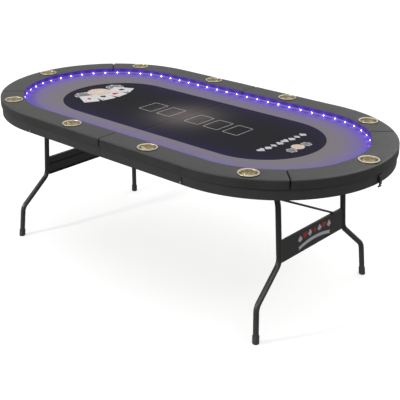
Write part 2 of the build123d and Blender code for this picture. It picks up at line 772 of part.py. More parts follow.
for side, label in ((-1, "left"), (1, "right")):
    save(label + "_deck_board", on_side(deck, side))
    save(label + "_play_cloth", on_side(cloth, side))
    save(label + "_rail_base", on_side(base_ring, side))
    save(label + "_side_apron", on_side(apron, side))
    save(label + "_centre_beam", on_side(beam, side))
    save(label + "_end_pad", on_side(end_pad, side))
    save(label + "_back_pad", on_side(back_pad, side))
    save(label + "_front_pad", on_side(across(back_pad), side))
    for place, (x, y) in cup_places.items():
        save(label + "_" + place + "_cup", make_cup(side * x, y))
    save(label + "_led_strip", on_side(strip, side))
    save(label + "_led_chips", *[on_side(chip, side) for chip in chips])
    save(label + "_back_leg_tube", on_side(back_tube, side))
    save(label + "_front_leg_tube", on_side(across(back_tube), side))
    save(label + "_foot_caps", on_side(across(foot_cap), side), on_side(foot_cap, side))
    save(label + "_leg_panel", on_side(panel, side))
    save(label + "_leg_brace", on_side(brace, side))
    save(label + "_leg_brackets", on_side(across(leg_bracket), side), on_side(leg_bracket, side))
    save(label + "_stay_deck_links", on_side(across(deck_link), side), on_side(deck_link, side))
    save(label + "_stay_leg_links", on_side(across(leg_link), side), on_side(leg_link, side))
    save(label + "_stay_brackets", on_side(across(stay_bracket), side), on_side(stay_bracket, side))

left_leaves, right_leaves, hinge_pins = make_hinges()
save("left_hinge_leaves", *left_leaves)
save("right_hinge_leaves", *right_leaves)
save("hinge_pins", *hinge_pins)

near_stud = make_side_stud(side_latch_x)
near_hook = make_side_hook()
save("side_latch_studs", near_stud, across(near_stud))
save("front_latch_hook", near_hook)
save("back_latch_hook", across(near_hook))
near_keeper = make_side_stud(-side_latch_x)
save("latch_keepers", near_keeper, across(near_keeper), make_tip_keeper())
save("tip_latch_base", make_tip_base())
save("tip_latch_lever", make_tip_lever())
save("tip_latch_bail", make_tip_bail())

save("light_control_box", make_control_box())
save("power_button", make_power_button())

print("splay", round(splay, 4), "fold axis z", fold_axis_z)
print("stay deck pivot", stay_deck_pivot, "elbow", stay_elbow, "leg pivot", stay_leg_pivot)
print("stay lengths", stay_deck_link_length, stay_open_span - stay_deck_link_length)
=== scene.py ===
"""Looks of a folding oval card table: padded rail, play cloth, cup holders, light strip and steel legs."""

import math

import bmesh
import bpy
import numpy as np

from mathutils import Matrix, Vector


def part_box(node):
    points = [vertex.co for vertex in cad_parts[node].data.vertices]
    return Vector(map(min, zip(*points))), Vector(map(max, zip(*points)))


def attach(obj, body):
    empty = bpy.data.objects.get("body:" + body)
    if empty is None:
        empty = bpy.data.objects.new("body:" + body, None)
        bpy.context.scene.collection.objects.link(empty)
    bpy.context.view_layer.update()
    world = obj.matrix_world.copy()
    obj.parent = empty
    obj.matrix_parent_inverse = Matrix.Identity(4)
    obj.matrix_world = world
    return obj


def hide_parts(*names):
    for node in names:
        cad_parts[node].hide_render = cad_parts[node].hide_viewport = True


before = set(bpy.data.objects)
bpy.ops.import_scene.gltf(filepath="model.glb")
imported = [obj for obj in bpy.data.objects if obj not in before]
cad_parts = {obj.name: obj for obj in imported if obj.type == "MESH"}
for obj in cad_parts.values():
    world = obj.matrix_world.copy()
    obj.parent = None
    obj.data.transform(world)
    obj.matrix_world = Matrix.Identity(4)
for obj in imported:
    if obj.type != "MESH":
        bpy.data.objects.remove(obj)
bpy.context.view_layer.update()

bl_info = {
    "name": "Folding oval card table",
    "version": (1, 0, 0),
    "blender": (4, 5, 0),
    "location": "View3D > Sidebar > Card table",
    "description": "Builds the padded rail, cloth, cups, lights, prints and finishes of the card table",
    "category": "Object",
}

SIDES = (("left", -1), ("right", 1))


# ---- measures read from the frame ----------------------------------------------------------
def low_high(node):
    """Both corners of a CAD node as arrays."""
    low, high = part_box(node)
    return np.array(low), np.array(high)


PAD_LOW, PAD_HIGH = low_high("right_end_pad")
CLOTH_HIGH = low_high("right_play_cloth")[1]
CUP_LOW, CUP_HIGH = low_high("right_end_cup")
STRIP_LOW, STRIP_HIGH = low_high("right_led_strip")
BOARD_LOW, BOARD_HIGH = low_high("right_deck_board")
RING_HIGH = low_high("right_rail_base")[1]
LONG_LOW, LONG_HIGH = low_high("right_back_pad")

OUTER_R = float(LONG_HIGH[1])                       # rail, outer face
END_X = float(PAD_HIGH[0]) - OUTER_R                # centre of the round end
RAIL_TOP = float(PAD_HIGH[2])
HEM_Z = float(PAD_LOW[2])
FOLD_X = float(LONG_LOW[0])                         # half the gap at the fold
RAIL_WIDTH = 0.118
INNER_R = OUTER_R - RAIL_WIDTH                      # rail, inner wall
RAIL_MID_R = float(CUP_LOW[0] + CUP_HIGH[0]) / 2 - END_X
RING_OUT = float(RING_HIGH[1])
RING_IN = INNER_R + 0.006                           # the ring stands this far behind the inner wall
RING_TOP = float(RING_HIGH[2])
DECK_R = float(BOARD_HIGH[1])
DECK_TOP = float(BOARD_HIGH[2])
DECK_UNDER = float(BOARD_LOW[2])
CLOTH_TOP = float(CLOTH_HIGH[2])
CLOTH_R = float(CLOTH_HIGH[1])
STRIP_FACE_R = float(STRIP_HIGH[1]) - 0.0008        # the face the lights stand on
STRIP_MID_Z = float(STRIP_LOW[2] + STRIP_HIGH[2]) / 2
CUP_RIM_R = float(CUP_HIGH[0] - CUP_LOW[0]) / 2
CUP_WALL_R = 0.0375                                 # outside of the cup below its rim
CUP_FLOOR = float(CUP_LOW[2])
LIGHT_PATH = 2 * END_X + math.pi * STRIP_FACE_R
LIGHT_COUNT = round(LIGHT_PATH / 0.0667)            # 15 lights for each metre of strip
LIGHT_PITCH = LIGHT_PATH / LIGHT_COUNT
HINGE_LOW, HINGE_HIGH = low_high("hinge_pins")
CORNER_LOW, CORNER_HIGH = low_high("right_back_corner_cup")
LEG_X = float(CORNER_LOW[0] + CORNER_HIGH[0]) / 2 - 0.00295     # leg pivot, just inward of the corner cup
LEG_Z = 0.692                                       # height of the leg pivot
FOOT_OUT = 0.047                                    # the feet stand this much further out than the pivot
FOOT_Y = 0.417                                      # half the distance between a set's feet
SHIN_SLOPE = 11.0 / 161.0                           # the shins spread this much for each metre down
SPLAY = math.atan2(FOOT_OUT, LEG_Z)
PANEL_FACE = 0.006                                  # the panel's outer face, out from the leg's plane
CLOSE = 0.0002                                      # vinyl and cloth stop this far from the fold
CUP_NAMES = ("end_cup", "front_corner_cup", "back_corner_cup", "front_inner_cup", "back_inner_cup")


def cup_centres(side):
    """Middle of each cup of one half, as (node name, x, y)."""
    found = []
    for name in CUP_NAMES:
        low, high = low_high(side + "_" + name)
        found.append((side + "_" + name, (low[0] + high[0]) / 2, (low[1] + high[1]) / 2))
    return found


# ---- sizes and colours a user would change --------------------------------------------------
def colour(name, text, value):
    return bpy.props.FloatVectorProperty(
        name=name, description=text, subtype="COLOR", size=3, min=0, max=1, default=value
    )


def length(name, text, value, low=0.0, high=0.1):
    return bpy.props.FloatProperty(
        name=name, description=text, unit="LENGTH", subtype="DISTANCE", default=value,
        min=low, max=high, precision=5,
    )


class CARDTABLE_PG_rail(bpy.types.PropertyGroup):
    """Sizes and colour of the padded rail."""

    vinyl: colour("Vinyl", "Colour of the rail's vinyl", (0.0170, 0.0171, 0.0160))
    crown: length("Crown", "How much higher the middle of the pad stands than its edges", 0.0018)
    tuck: length("Tuck", "How far the vinyl is drawn in at a seam", 0.0060)
    tuck_reach: length("Tuck reach", "Distance from a seam over which the vinyl is drawn in", 0.0080)
    ripple: length("Ripple", "Height of the uneven padding under the vinyl", 0.0005)
    dimple: length("Dimple", "How deep a cup's rim presses into the padding", 0.0012)


class CARDTABLE_PG_cloth(bpy.types.PropertyGroup):
    """Colours and sizes of the play cloth and its print."""

    band: colour("Band", "Colour of the cloth between the rail and the oval", (0.150, 0.136, 0.130))
    oval: colour("Oval", "Colour of the printed oval", (0.0062, 0.0062, 0.0070))
    line: colour("Line", "Colour of the card outlines", (0.50, 0.49, 0.52))
    oval_straight: length("Oval straight", "Distance from the fold to the oval's end centre", 0.450, 0.1, 0.6)
    oval_shift: length("Oval shift", "How far the oval's middle lies from the fold", 0.010, -0.1, 0.1)
    oval_radius: length("Oval radius", "Radius of the oval's round ends", 0.288, 0.1, 0.4)
    print_height: length("Print thickness", "Thickness of the ink on the cloth", 0.00015)


class CARDTABLE_PG_metal(bpy.types.PropertyGroup):
    """Colours of cups, lights and steel parts."""

    cup: colour("Cup", "Colour of the cup metal", (0.66, 0.61, 0.48))
    light: colour("Light", "Colour of the light strip", (0.078, 0.011, 0.50))
    light_power: bpy.props.FloatProperty(
        name="Light power", description="Brightness of the light strip's glow", default=1.0, min=0, max=10
    )
    leg: colour("Leg paint", "Colour of the painted legs", (0.017, 0.017, 0.0165))
    apron: colour("Apron", "Colour of the apron's laminate", (0.0235, 0.0245, 0.0245))


def settings():
    scene = bpy.context.scene
    return scene.card_table_rail, scene.card_table_cloth, scene.card_table_metal


# ---- mesh helpers ----------------------------------------------------------------------------
def stack(*columns):
    """Arrays of one shape side by side along a new last axis."""
    return np.stack(columns, -1)


def full_turn(steps):
    return np.linspace(0, 2 * math.pi, steps, endpoint=False)


def new_object(name, points, faces, smooth=True):
    """Mesh object from points, in an array of any shape that ends in three, and faces."""
    mesh = bpy.data.meshes.new(name)
    points = np.reshape(points, (-1, 3)).tolist()
    mesh.from_pydata(points, [], faces if isinstance(faces, list) else faces.tolist())
    mesh.polygons.foreach_set("use_smooth", np.full(len(mesh.polygons), smooth))
    mesh.update()
    made = bpy.data.objects.new(name, mesh)
    bpy.context.scene.collection.objects.link(made)
    return made


def grid_faces(rows, columns, wrap_rows=False, wrap_columns=False, start=0):
    """Quads of a grid of points, row after row."""
    i = np.arange(rows if wrap_rows else rows - 1)
    j = np.arange(columns if wrap_columns else columns - 1)
    a, b = np.meshgrid(i, j, indexing="ij")
    a2, b2 = (a + 1) % rows, (b + 1) % columns
    quads = np.stack(
        (a * columns + b, a2 * columns + b, a2 * columns + b2, a * columns + b2), axis=-1
    ).reshape(-1, 4)
    return quads + start


def reshape(made, change):
    """Runs change on a bmesh copy of the object's mesh and writes the result back."""
    work = bmesh.new()
    work.from_mesh(made.data)
    change(work)
    work.to_mesh(made.data)
    work.free()
    made.data.update()
    return made


def finish_mesh(made, weld=1e-6):
    """Joins doubled points, unless weld is 0, and turns every face outwards."""

    def change(work):
        if weld:
            bmesh.ops.remove_doubles(work, verts=work.verts, dist=weld)
            bmesh.ops.dissolve_degenerate(work, edges=work.edges, dist=weld)
        bmesh.ops.recalc_face_normals(work, faces=work.faces)

    return reshape(made, change)


def hash_noise(x, y, z, seed=0.0):
    """Smooth noise from -1 to 1: values at whole-number corners, blended with 3t^2 - 2t^3 on each axis."""
    p = stack(*np.broadcast_arrays(x, y, z)).astype(float)
    cell = np.floor(p)
    part = p - cell
    part = part * part * (3 - 2 * part)
    total = 0.0
    for corner in np.ndindex(2, 2, 2):
        q = cell + corner
        value = np.sin(q[..., 0] * 127.1 + q[..., 1] * 311.7 + q[..., 2] * 74.7 + seed * 53.3) * 43758.5453
        value = 2 * (value - np.floor(value)) - 1
        weight = np.prod(np.where(corner, part, 1 - part), axis=-1)
        total = total + weight * value
    return total


def spin(name, profile, centre=(0, 0, 0), steps=96):
    """Round body: each (radius, height) of the profile turned about the Z axis through centre."""
    profile = np.asarray(profile, float)
    angle = full_turn(steps)
    r, z = profile[:, 0][:, None], profile[:, 1][:, None]
    points = np.stack(
        (
            centre[0] + r * np.cos(angle),
            centre[1] + r * np.sin(angle),
            centre[2] + np.broadcast_to(z, (len(profile), steps)),
        ),
        -1,
    )
    faces = grid_faces(len(profile), steps, wrap_columns=True)
    return finish_mesh(new_object(name, points, faces))


def join_named(name, parts):
    """One object from several, keeping each part's materials."""
    bpy.ops.object.select_all(action="DESELECT")
    for part in parts:
        part.select_set(True)
    bpy.context.view_layer.objects.active = parts[0]
    if len(parts) > 1:
        bpy.ops.object.join()
    made = bpy.context.view_layer.objects.active
    made.name = name
    made.data.name = name
    return made


def sharpen(made, degrees=35):
    """Smooth shading with sharp edges kept where faces meet steeply."""

    def change(work):
        for edge in work.edges:
            edge.smooth = not (len(edge.link_faces) == 2 and edge.calc_face_angle(0) > math.radians(degrees))

    return reshape(made, change)


def give(made, body, material=None, replaces=()):
    """Sets material, body, slot and the CAD nodes a piece stands for."""
    if material is not None:
        made.data.materials.clear()
        made.data.materials.append(material)
    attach(made, body)
    if replaces:
        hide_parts(*replaces)
    return made


# ---- shader helpers --------------------------------------------------------------------------
class Graph:
    """Adds nodes to one shader tree. A number or colour is set on a socket, a socket is joined to it."""

    def __init__(self, tree):
        self.tree = tree

    def put(self, socket, value):
        if isinstance(value, bpy.types.NodeSocket):
            self.tree.links.new(value, socket)
        elif value is not None:
            if socket.type == "RGBA" and len(value) == 3:
                value = (*value, 1.0)
            socket.default_value = value

    def add(self, kind, inputs=None, out=0, **values):
        node = self.tree.nodes.new(kind)
        for key, value in values.items():
            setattr(node, key, value)
        for key, value in (inputs or {}).items():
            self.put(node.inputs[key], value)
        return node.outputs[out]

    def math(self, operation, a, b=0.0, clamp=False):
        return self.add("ShaderNodeMath", {0: a, 1: b}, operation=operation, use_clamp=clamp)

    def mul(self, a, b, clamp=False):
        return self.math("MULTIPLY", a, b, clamp)

    def plus(self, a, b, clamp=False):
        return self.math("ADD", a, b, clamp)

    def less(self, a, b):
        return self.math("SUBTRACT", a, b)

    def absolute(self, a):
        return self.math("ABSOLUTE", a)

    def decay(self, distance, rate):
        """e to the power of distance times rate; the rate is negative."""
        return self.math("EXPONENT", self.mul(distance, rate))

    def from_middle(self, x, y, straight):
        """Distance from a middle line that ends at straight on both sides, and the part of it past the end."""
        past = self.math("MAXIMUM", self.less(self.absolute(x), straight), 0.0)
        return self.math("SQRT", self.plus(self.math("POWER", past, 2.0), self.math("POWER", y, 2.0))), past

    def mix(self, factor, a, b, blend="MIX"):
        return self.add("ShaderNodeMix", {0: factor, 6: a, 7: b}, out=2, data_type="RGBA", blend_type=blend)

    def blend(self, factor, a, b):
        """a where factor is 0, b where it is 1."""
        return self.add("ShaderNodeMix", {0: factor, 2: a, 3: b}, data_type="FLOAT")

    def smooth(self, value, low, high):
        """0 below low and 1 above high, eased between."""
        return self.add(
            "ShaderNodeMapRange", {0: value, 1: low, 2: high, 3: 0.0, 4: 1.0}, interpolation_type="SMOOTHSTEP"
        )

    def noise(self, vector, scale, detail=3.0, roughness=0.5):
        return self.add(
            "ShaderNodeTexNoise",
            {"Vector": vector, "Scale": scale, "Detail": detail, "Roughness": roughness},
        )

    def place(self):
        return self.add("ShaderNodeTexCoord", out="Object")

    def scaled(self, vector, x, y, z):
        return self.add("ShaderNodeVectorMath", {0: vector, 1: (x, y, z)}, operation="MULTIPLY")

    def axes(self, vector):
        node = self.tree.nodes.new("ShaderNodeSeparateXYZ")
        self.put(node.inputs[0], vector)
        return node.outputs


NUMBER, COLOUR = "NodeSocketFloat", "NodeSocketColor"
GROUPS = {}


def shader_group(name, inputs):
    """Keeps the recipe of a shader group under its name. A recipe takes the graph and the input sockets and
    returns the value of each output; an input whose default has three numbers is a colour."""

    def keep(recipe):
        GROUPS[name] = (inputs, recipe)
        return recipe

    return keep


def group_named(name):
    """The shader group of that name, made on first use."""
    if name in bpy.data.node_groups:
        return bpy.data.node_groups[name]
    inputs, recipe = GROUPS[name]
    tree = bpy.data.node_groups.new(name, "ShaderNodeTree")
    for label, value in inputs.items():
        kind, default = (COLOUR, (*value, 1.0)) if isinstance(value, tuple) else (NUMBER, value)
        tree.interface.new_socket(name=label, in_out="INPUT", socket_type=kind).default_value = default
    source = tree.nodes.new("NodeGroupInput")
    values = recipe(Graph(tree), {s.name: s for s in source.outputs if s.name})
    for label in values:
        kind = COLOUR if label in ("Colour", "Glow") else NUMBER
        tree.interface.new_socket(name=label, in_out="OUTPUT", socket_type=kind)
    sink = tree.nodes.new("NodeGroupOutput")
    for label, value in values.items():
        tree.links.new(value, sink.inputs[label])
    return tree


@shader_group("vinyl_skin", {"Colour": (0.05, 0.05, 0.05), "Roughness": 0.42, "Grain": 950.0})
def vinyl_skin(g, given):
    """Pebbled vinyl: cells of a fine Voronoi pattern for the grain, slow noise for handling polish, and painted
    shade that darkens the vinyl to near black along each seam.
    """
    place = g.place()
    cells = g.add(
        "ShaderNodeTexVoronoi", {"Vector": place, "Scale": given["Grain"]}, feature="DISTANCE_TO_EDGE"
    )
    pebble = g.smooth(cells, 0.0, 0.22)
    fine = g.noise(place, 2600.0, 2.0)
    slow = g.noise(place, 9.0, 4.0, 0.6)
    scuff = g.smooth(g.noise(g.scaled(place, 60, 60, 240), 1.0, 5.0, 0.7), 0.60, 0.78)
    height = g.plus(pebble, g.mul(fine, 0.35))
    shade = g.plus(g.mul(pebble, 0.16), g.mul(slow, 0.24))
    # painted shade: within about 2 to 5 mm of the fold and of the two 45 degree seams the vinyl is darkened to
    # near black, standing in for the shadow in each seam's crease
    x, y, _ = g.axes(place)
    corner = g.less(g.less(g.absolute(x), END_X), g.absolute(y))
    nearest = g.math("MINIMUM", g.absolute(x), g.mul(g.absolute(corner), 0.7071))
    seam = g.less(1.0, g.smooth(nearest, 0.0020, 0.0052))
    pale = g.mix(g.mul(shade, 0.10), given["Colour"], (0.5, 0.5, 0.5))
    worn = g.mix(g.mul(scuff, 0.04), pale, (0.42, 0.42, 0.41))
    colour_with_seam_shade = g.mix(g.mul(seam, 0.95), worn, (0.004, 0.004, 0.004))
    rough = g.plus(given["Roughness"], g.mul(g.less(slow, 0.5), 0.22))
    rough = g.plus(rough, g.mul(scuff, 0.10), clamp=True)
    return {"Colour": colour_with_seam_shade, "Roughness": rough, "Height": height}


@shader_group("weave", {"Threads": 4200.0})
def weave(g, given):
    """Speed-cloth weave: crossed sine waves along the two thread directions with loose fibre noise."""
    x, y, _ = g.axes(g.place())
    step = given["Threads"]
    warp = g.math("SINE", g.mul(x, step))
    weft = g.math("SINE", g.mul(y, step))
    cross = g.mul(warp, weft)
    fibre = g.noise(g.place(), 1500.0, 3.0, 0.7)
    height = g.plus(g.mul(cross, 0.5), fibre)
    rough = g.plus(0.78, g.mul(fibre, 0.18), clamp=True)
    return {"Height": height, "Roughness": rough}


@shader_group("ink", {"Ink": (0.5, 0.5, 0.5), "Wear": 0.9})
def ink(g, given):
    """Printed ink on cloth: the weave shows through as fine mottling, with slow fading."""
    place = g.place()
    mottle = g.noise(place, 900.0, 3.0, 0.7)
    fade = g.noise(place, 14.0, 3.0)
    dull = g.plus(g.mul(mottle, 0.30), g.mul(fade, 0.12))
    return {"Colour": g.mix(g.mul(dull, given["Wear"]), given["Ink"], (0.09, 0.088, 0.095))}


@shader_group("coated", {"Colour": (0.02, 0.02, 0.02), "Roughness": 0.32, "Scuffs": 0.06})
def coated(g, given):
    """Sprayed or moulded skin: orange peel, slow mottling, dust towards the floor and faint scuffs."""
    place = g.place()
    _, _, z = g.axes(place)
    peel = g.noise(place, 420.0, 2.0)
    mottle = g.noise(place, 18.0, 4.0, 0.6)
    scuff = g.smooth(g.noise(g.scaled(place, 90, 90, 700), 1.0, 4.0, 0.65), 0.62, 0.76)
    low = g.less(1.0, g.smooth(z, 0.02, 0.34))
    dust = g.mul(g.mul(low, g.noise(place, 70.0, 4.0, 0.7)), 0.10)
    pale = g.mix(g.plus(g.mul(mottle, 0.03), dust), given["Colour"], (0.46, 0.44, 0.41))
    tone = g.mix(g.mul(scuff, given["Scuffs"]), pale, (0.34, 0.34, 0.34))
    rough = g.plus(given["Roughness"], g.mul(mottle, 0.16))
    rough = g.plus(rough, g.mul(scuff, 0.18), clamp=True)
    height = g.plus(peel, g.mul(scuff, -0.3))
    return {"Colour": tone, "Roughness": rough, "Height": height}


@shader_group("drawn_metal", {"Colour": (0.7, 0.7, 0.7), "Tarnish": (0.3, 0.28, 0.24), "Roughness": 0.2})
def drawn_metal(g, given):
    """Drawn or plated metal: fine level lines from drawing, faint smears and small dents of light."""
    place = g.place()
    lines = g.noise(g.scaled(place, 30, 30, 5200), 1.0, 2.0)
    smear = g.noise(place, 46.0, 4.0, 0.6)
    pit = g.smooth(g.noise(place, 620.0, 2.0), 0.62, 0.74)
    tone = g.mix(g.mul(smear, 0.30), given["Colour"], given["Tarnish"])
    rough = g.plus(given["Roughness"], g.mul(smear, 0.14))
    rough = g.plus(rough, g.mul(lines, 0.08), clamp=True)
    return {
        "Colour": g.mix(g.mul(pit, 0.12), tone, given["Tarnish"]),
        "Roughness": rough,
        "Height": g.plus(lines, g.mul(pit, -0.4)),
    }


@shader_group(
    "light_spill",
    {
        "Light": (0.1, 0.02, 0.6), "Surface": (0.5, 0.5, 0.5), "Power": 1.0,
        "Reach": 0.016, "Spot": 0.009, "Spot power": 1.5,
    },
)
def light_spill(g, given):
    """Glow of the light strip on what it reaches: fades with the distance from the rail's inner wall, with a
    brighter spot at every light. Distances come from the place alone."""
    x, y, z = g.axes(g.place())
    radius, past = g.from_middle(x, y, END_X)
    off_wall = g.math("MAXIMUM", g.less(INNER_R, radius), 0.0)
    turn = g.math("ARCTAN2", past, g.math("MAXIMUM", g.absolute(y), 0.0001))
    along = g.plus(g.math("MINIMUM", g.absolute(x), END_X), g.mul(turn, STRIP_FACE_R))
    phase = g.less(g.math("FRACT", g.math("DIVIDE", along, LIGHT_PITCH)), 0.5)
    step = g.mul(phase, LIGHT_PITCH)
    rise = g.less(z, STRIP_MID_Z)
    near = g.plus(g.math("POWER", step, 2.0), g.math("POWER", off_wall, 2.0))
    near = g.math("SQRT", g.plus(near, g.math("POWER", rise, 2.0)))
    spot = g.decay(near, g.math("DIVIDE", -1.0, given["Spot"]))
    lift = g.absolute(rise)
    even = g.plus(off_wall, g.mul(lift, 0.7))
    wash = g.decay(even, g.math("DIVIDE", -1.0, given["Reach"]))
    far = g.decay(even, g.math("DIVIDE", -0.36, given["Reach"]))
    above = g.less(1.0, g.smooth(z, RAIL_TOP - 0.0050, RAIL_TOP - 0.0012))
    below = g.smooth(z, DECK_TOP - 0.002, DECK_TOP + 0.0005)
    inside = g.smooth(g.less(INNER_R + 0.012, radius), 0.0, 0.010)
    total = g.plus(g.mul(spot, given["Spot power"]), wash)
    total = g.plus(total, g.mul(far, 0.07))
    total = g.mul(g.mul(total, above), g.mul(below, inside))
    total = g.mul(total, given["Power"])
    pale = g.mix(g.mul(spot, 0.45, clamp=True), given["Light"], (0.62, 0.55, 1.0))
    lit = g.mix(1.0, pale, given["Surface"], "MULTIPLY")
    return {"Glow": g.add("ShaderNodeVectorMath", {0: lit, 3: total}, operation="SCALE")}


FEEDS = {"Colour": "Base Color", "Roughness": "Roughness", "Glow": "Emission Color"}


def make_material(name, shader, groups=(), bump=(0.3, 0.0005)):
    """Principled material; groups is ((group name, {input: value}), ...) whose outputs feed the shader."""
    material = bpy.data.materials.new(name)
    material.use_nodes = True
    tree = material.node_tree
    tree.nodes.clear()
    g = Graph(tree)
    principled = tree.nodes.new("ShaderNodeBsdfPrincipled")
    sink = tree.nodes.new("ShaderNodeOutputMaterial")
    tree.links.new(principled.outputs[0], sink.inputs["Surface"])
    for group_name, inputs in groups:
        node = tree.nodes.new("ShaderNodeGroup")
        node.node_tree = group_named(group_name)
        for key, value in inputs.items():
            g.put(node.inputs[key], value)
        for output in node.outputs:
            if output.name in FEEDS and FEEDS[output.name] not in shader:
                tree.links.new(output, principled.inputs[FEEDS[output.name]])
            elif output.name == "Height" and bump:
                normal = g.add(
                    "ShaderNodeBump", {"Strength": bump[0], "Distance": bump[1], "Height": output}
                )
                tree.links.new(normal, principled.inputs["Normal"])
    if any(group_name == "light_spill" for group_name, _ in groups):
        principled.inputs["Emission Strength"].default_value = 1.0
    for key, value in shader.items():
        g.put(principled.inputs[key], value)
    return material, g, principled


def kept(name, *recipe):
    """The material of that name, made on first use."""
    return bpy.data.materials.get(name) or make_material(name, *recipe)[0]


def spill(surface, **more):
    _, _, metal = settings()
    values = {"Light": tuple(metal.light), "Surface": surface, "Power": metal.light_power}
    values.update(more)
    return ("light_spill", values)


def vinyl_material():
    rail, _, _ = settings()
    return kept(
        "rail_vinyl_skin",
        {"Specular IOR Level": 0.38, "Coat Weight": 0.03, "Coat Roughness": 0.35},
        (
            ("vinyl_skin", {"Colour": tuple(rail.vinyl), "Roughness": 0.44, "Grain": 900.0}),
            spill((0.32, 0.09, 0.50), **{"Reach": 0.038, "Spot": 0.0095, "Spot power": 3.4}),
        ),
        (0.35, 0.0003),
    )


def cloth_material():
    """Woven band and printed oval. The oval is where the distance from its centre line, a straight piece with
    round ends, is less than its radius. The middle of the table is a little lighter, a painted pool of warm
    light, and near the rail's inner wall the cloth is painted darker violet, the painted cast of the light
    strip."""
    _, cloth, _ = settings()
    if "printed_play_cloth" in bpy.data.materials:
        return bpy.data.materials["printed_play_cloth"]
    made, g, principled = make_material(
        "printed_play_cloth",
        {"Sheen Weight": 0.015, "Sheen Roughness": 0.5, "Specular IOR Level": 0.10},
        (("weave", {}), spill((0.78, 0.80, 0.98), **{"Reach": 0.052, "Spot": 0.010, "Spot power": 1.2})),
        bump=(0.5, 0.0002),
    )
    place = g.place()
    x, y, _ = g.axes(place)
    radius, _ = g.from_middle(g.less(x, cloth.oval_shift), y, cloth.oval_straight)
    ragged = g.mul(g.less(g.noise(place, 900.0, 2.0), 0.5), 0.0012)
    outside = g.smooth(g.plus(radius, ragged), cloth.oval_radius - 0.0008, cloth.oval_radius + 0.0008)
    fibre = g.noise(place, 1300.0, 3.0, 0.7)
    streak = g.noise(g.scaled(place, 40, 900, 1), 1.0, 3.0, 0.6)
    cross = g.noise(g.scaled(place, 900, 40, 1), 1.0, 3.0, 0.6)
    mottle = g.noise(place, 6.0, 3.0)
    thread = g.plus(g.mul(streak, 0.5), g.mul(cross, 0.5))
    grain = g.plus(g.mul(fibre, 0.5), g.mul(thread, 0.5))

    def around(tone, dark, pale):
        return g.mix(grain, tuple(c * dark for c in tone), tuple(c * pale for c in tone))

    band_tone = around(cloth.band, 0.72, 1.30)
    dark_tone = around(cloth.oval, 0.70, 1.35)
    # painted light: a soft pool of warm light over the middle of the table, lightening the dark oval towards
    # beige
    away = g.math("SQRT", g.plus(g.math("POWER", x, 2.0), g.math("POWER", y, 2.0)))
    middle = g.decay(g.math("POWER", away, 2.0), -42.0)
    lit = g.mix(g.mul(middle, 0.135), dark_tone, (0.66, 0.56, 0.52))
    check = 2 * math.pi / 0.026
    lattice = g.mul(g.math("SINE", g.mul(g.plus(x, y), check)), g.math("SINE", g.mul(g.less(x, y), check)))
    raised = g.smooth(lattice, -0.1, 0.5)
    band_tone = g.mix(g.mul(raised, 0.20), band_tone, tuple(c * 1.9 for c in cloth.band))
    whole = g.mix(outside, lit, band_tone)
    # painted light: near the rail's inner wall the cloth is mixed towards dark violet, the painted cast of the
    # light strip, fading over about 5 cm
    reach, _ = g.from_middle(x, y, END_X)
    painted_strip_cast = g.decay(g.math("MAXIMUM", g.less(INNER_R, reach), 0.0), -1 / 0.045)
    whole = g.mix(g.mul(painted_strip_cast, 0.80), whole, (0.030, 0.020, 0.110))
    whole = g.mix(g.mul(mottle, 0.10), whole, (0.02, 0.02, 0.022))
    g.put(principled.inputs["Base Color"], whole)
    return made


def ink_material(name, value):
    groups = (("ink", {"Ink": value}), ("weave", {}), spill((0.35, 0.35, 0.40), Reach=0.034))
    return kept("ink_" + name, {"Specular IOR Level": 0.2}, groups, (0.4, 0.0002))


def coated_material(name, value, roughness, scuffs=0.06, bump=(0.16, 0.0003)):
    return kept(name, {}, (("coated", {"Colour": value, "Roughness": roughness, "Scuffs": scuffs}),), bump)


def metal_material(name, value, tarnish, roughness, bump=(0.10, 0.0002)):
    groups = (("drawn_metal", {"Colour": value, "Tarnish": tarnish, "Roughness": roughness}),)
    return kept(name, {"Metallic": 1.0}, groups, bump)


def strip_material():
    groups = (
        ("coated", {"Colour": (0.20, 0.18, 0.30), "Roughness": 0.35, "Scuffs": 0.0}),
        spill((0.30, 0.30, 0.32), **{"Reach": 0.030, "Spot": 0.006, "Spot power": 5.0}),
    )
    return kept("strip_film_white", {}, groups, (0.05, 0.0002))


def leg_material():
    _, _, metal = settings()
    return coated_material("leg_paint_gloss", tuple(metal.leg), 0.24, 0.05, (0.12, 0.0003))


def board_material():
    """Plywood: long grain streaks on the faces, and edges painted black over the plies."""
    if "plywood_board" in bpy.data.materials:
        return bpy.data.materials["plywood_board"]
    made, g, principled = make_material("plywood_board", {"Specular IOR Level": 0.3}, ())
    place = g.place()
    _, _, z = g.axes(place)
    ply = g.smooth(g.math("SINE", g.mul(z, 2 * math.pi / 0.0024)), -0.3, 0.3)
    streak = g.noise(g.scaled(place, 8, 190, 190), 1.0, 5.0, 0.6)
    rings = g.add(
        "ShaderNodeTexWave",
        {"Vector": g.scaled(place, 2, 10, 10), "Scale": 1.4, "Distortion": 7.0, "Detail": 3.0},
    )
    wood = g.mix(streak, (0.30, 0.185, 0.095), (0.47, 0.33, 0.19))
    wood = g.mix(g.mul(rings, 0.35), wood, (0.22, 0.125, 0.06))
    edge = g.mix(ply, (0.012, 0.011, 0.010), (0.020, 0.019, 0.018))
    _, _, nz = g.axes(g.add("ShaderNodeNewGeometry", out="True Normal"))
    face = g.smooth(g.absolute(nz), 0.5, 0.8)
    g.put(principled.inputs["Base Color"], g.mix(face, edge, wood))
    g.put(principled.inputs["Roughness"], g.plus(0.52, g.mul(streak, 0.2)))
    normal = g.add("ShaderNodeBump", {"Strength": 0.25, "Distance": 0.0004, "Height": streak})
    g.put(principled.inputs["Normal"], normal)
    return made


# ---- padded rail -----------------------------------------------------------------------------
def resample(line, count, keep_corners=False):
    """Even samples along a line; with keep_corners the nearest sample to every corner is moved onto it."""
    step = np.r_[0, np.cumsum(np.hypot(*np.diff(line, axis=0).T))]
    at = np.linspace(0, step[-1], count)
    if keep_corners:
        for s in step[1:-1]:
            at[np.argmin(np.abs(at - s))] = s
    return stack(np.interp(at, step, line[:, 0]), np.interp(at, step, line[:, 1]))


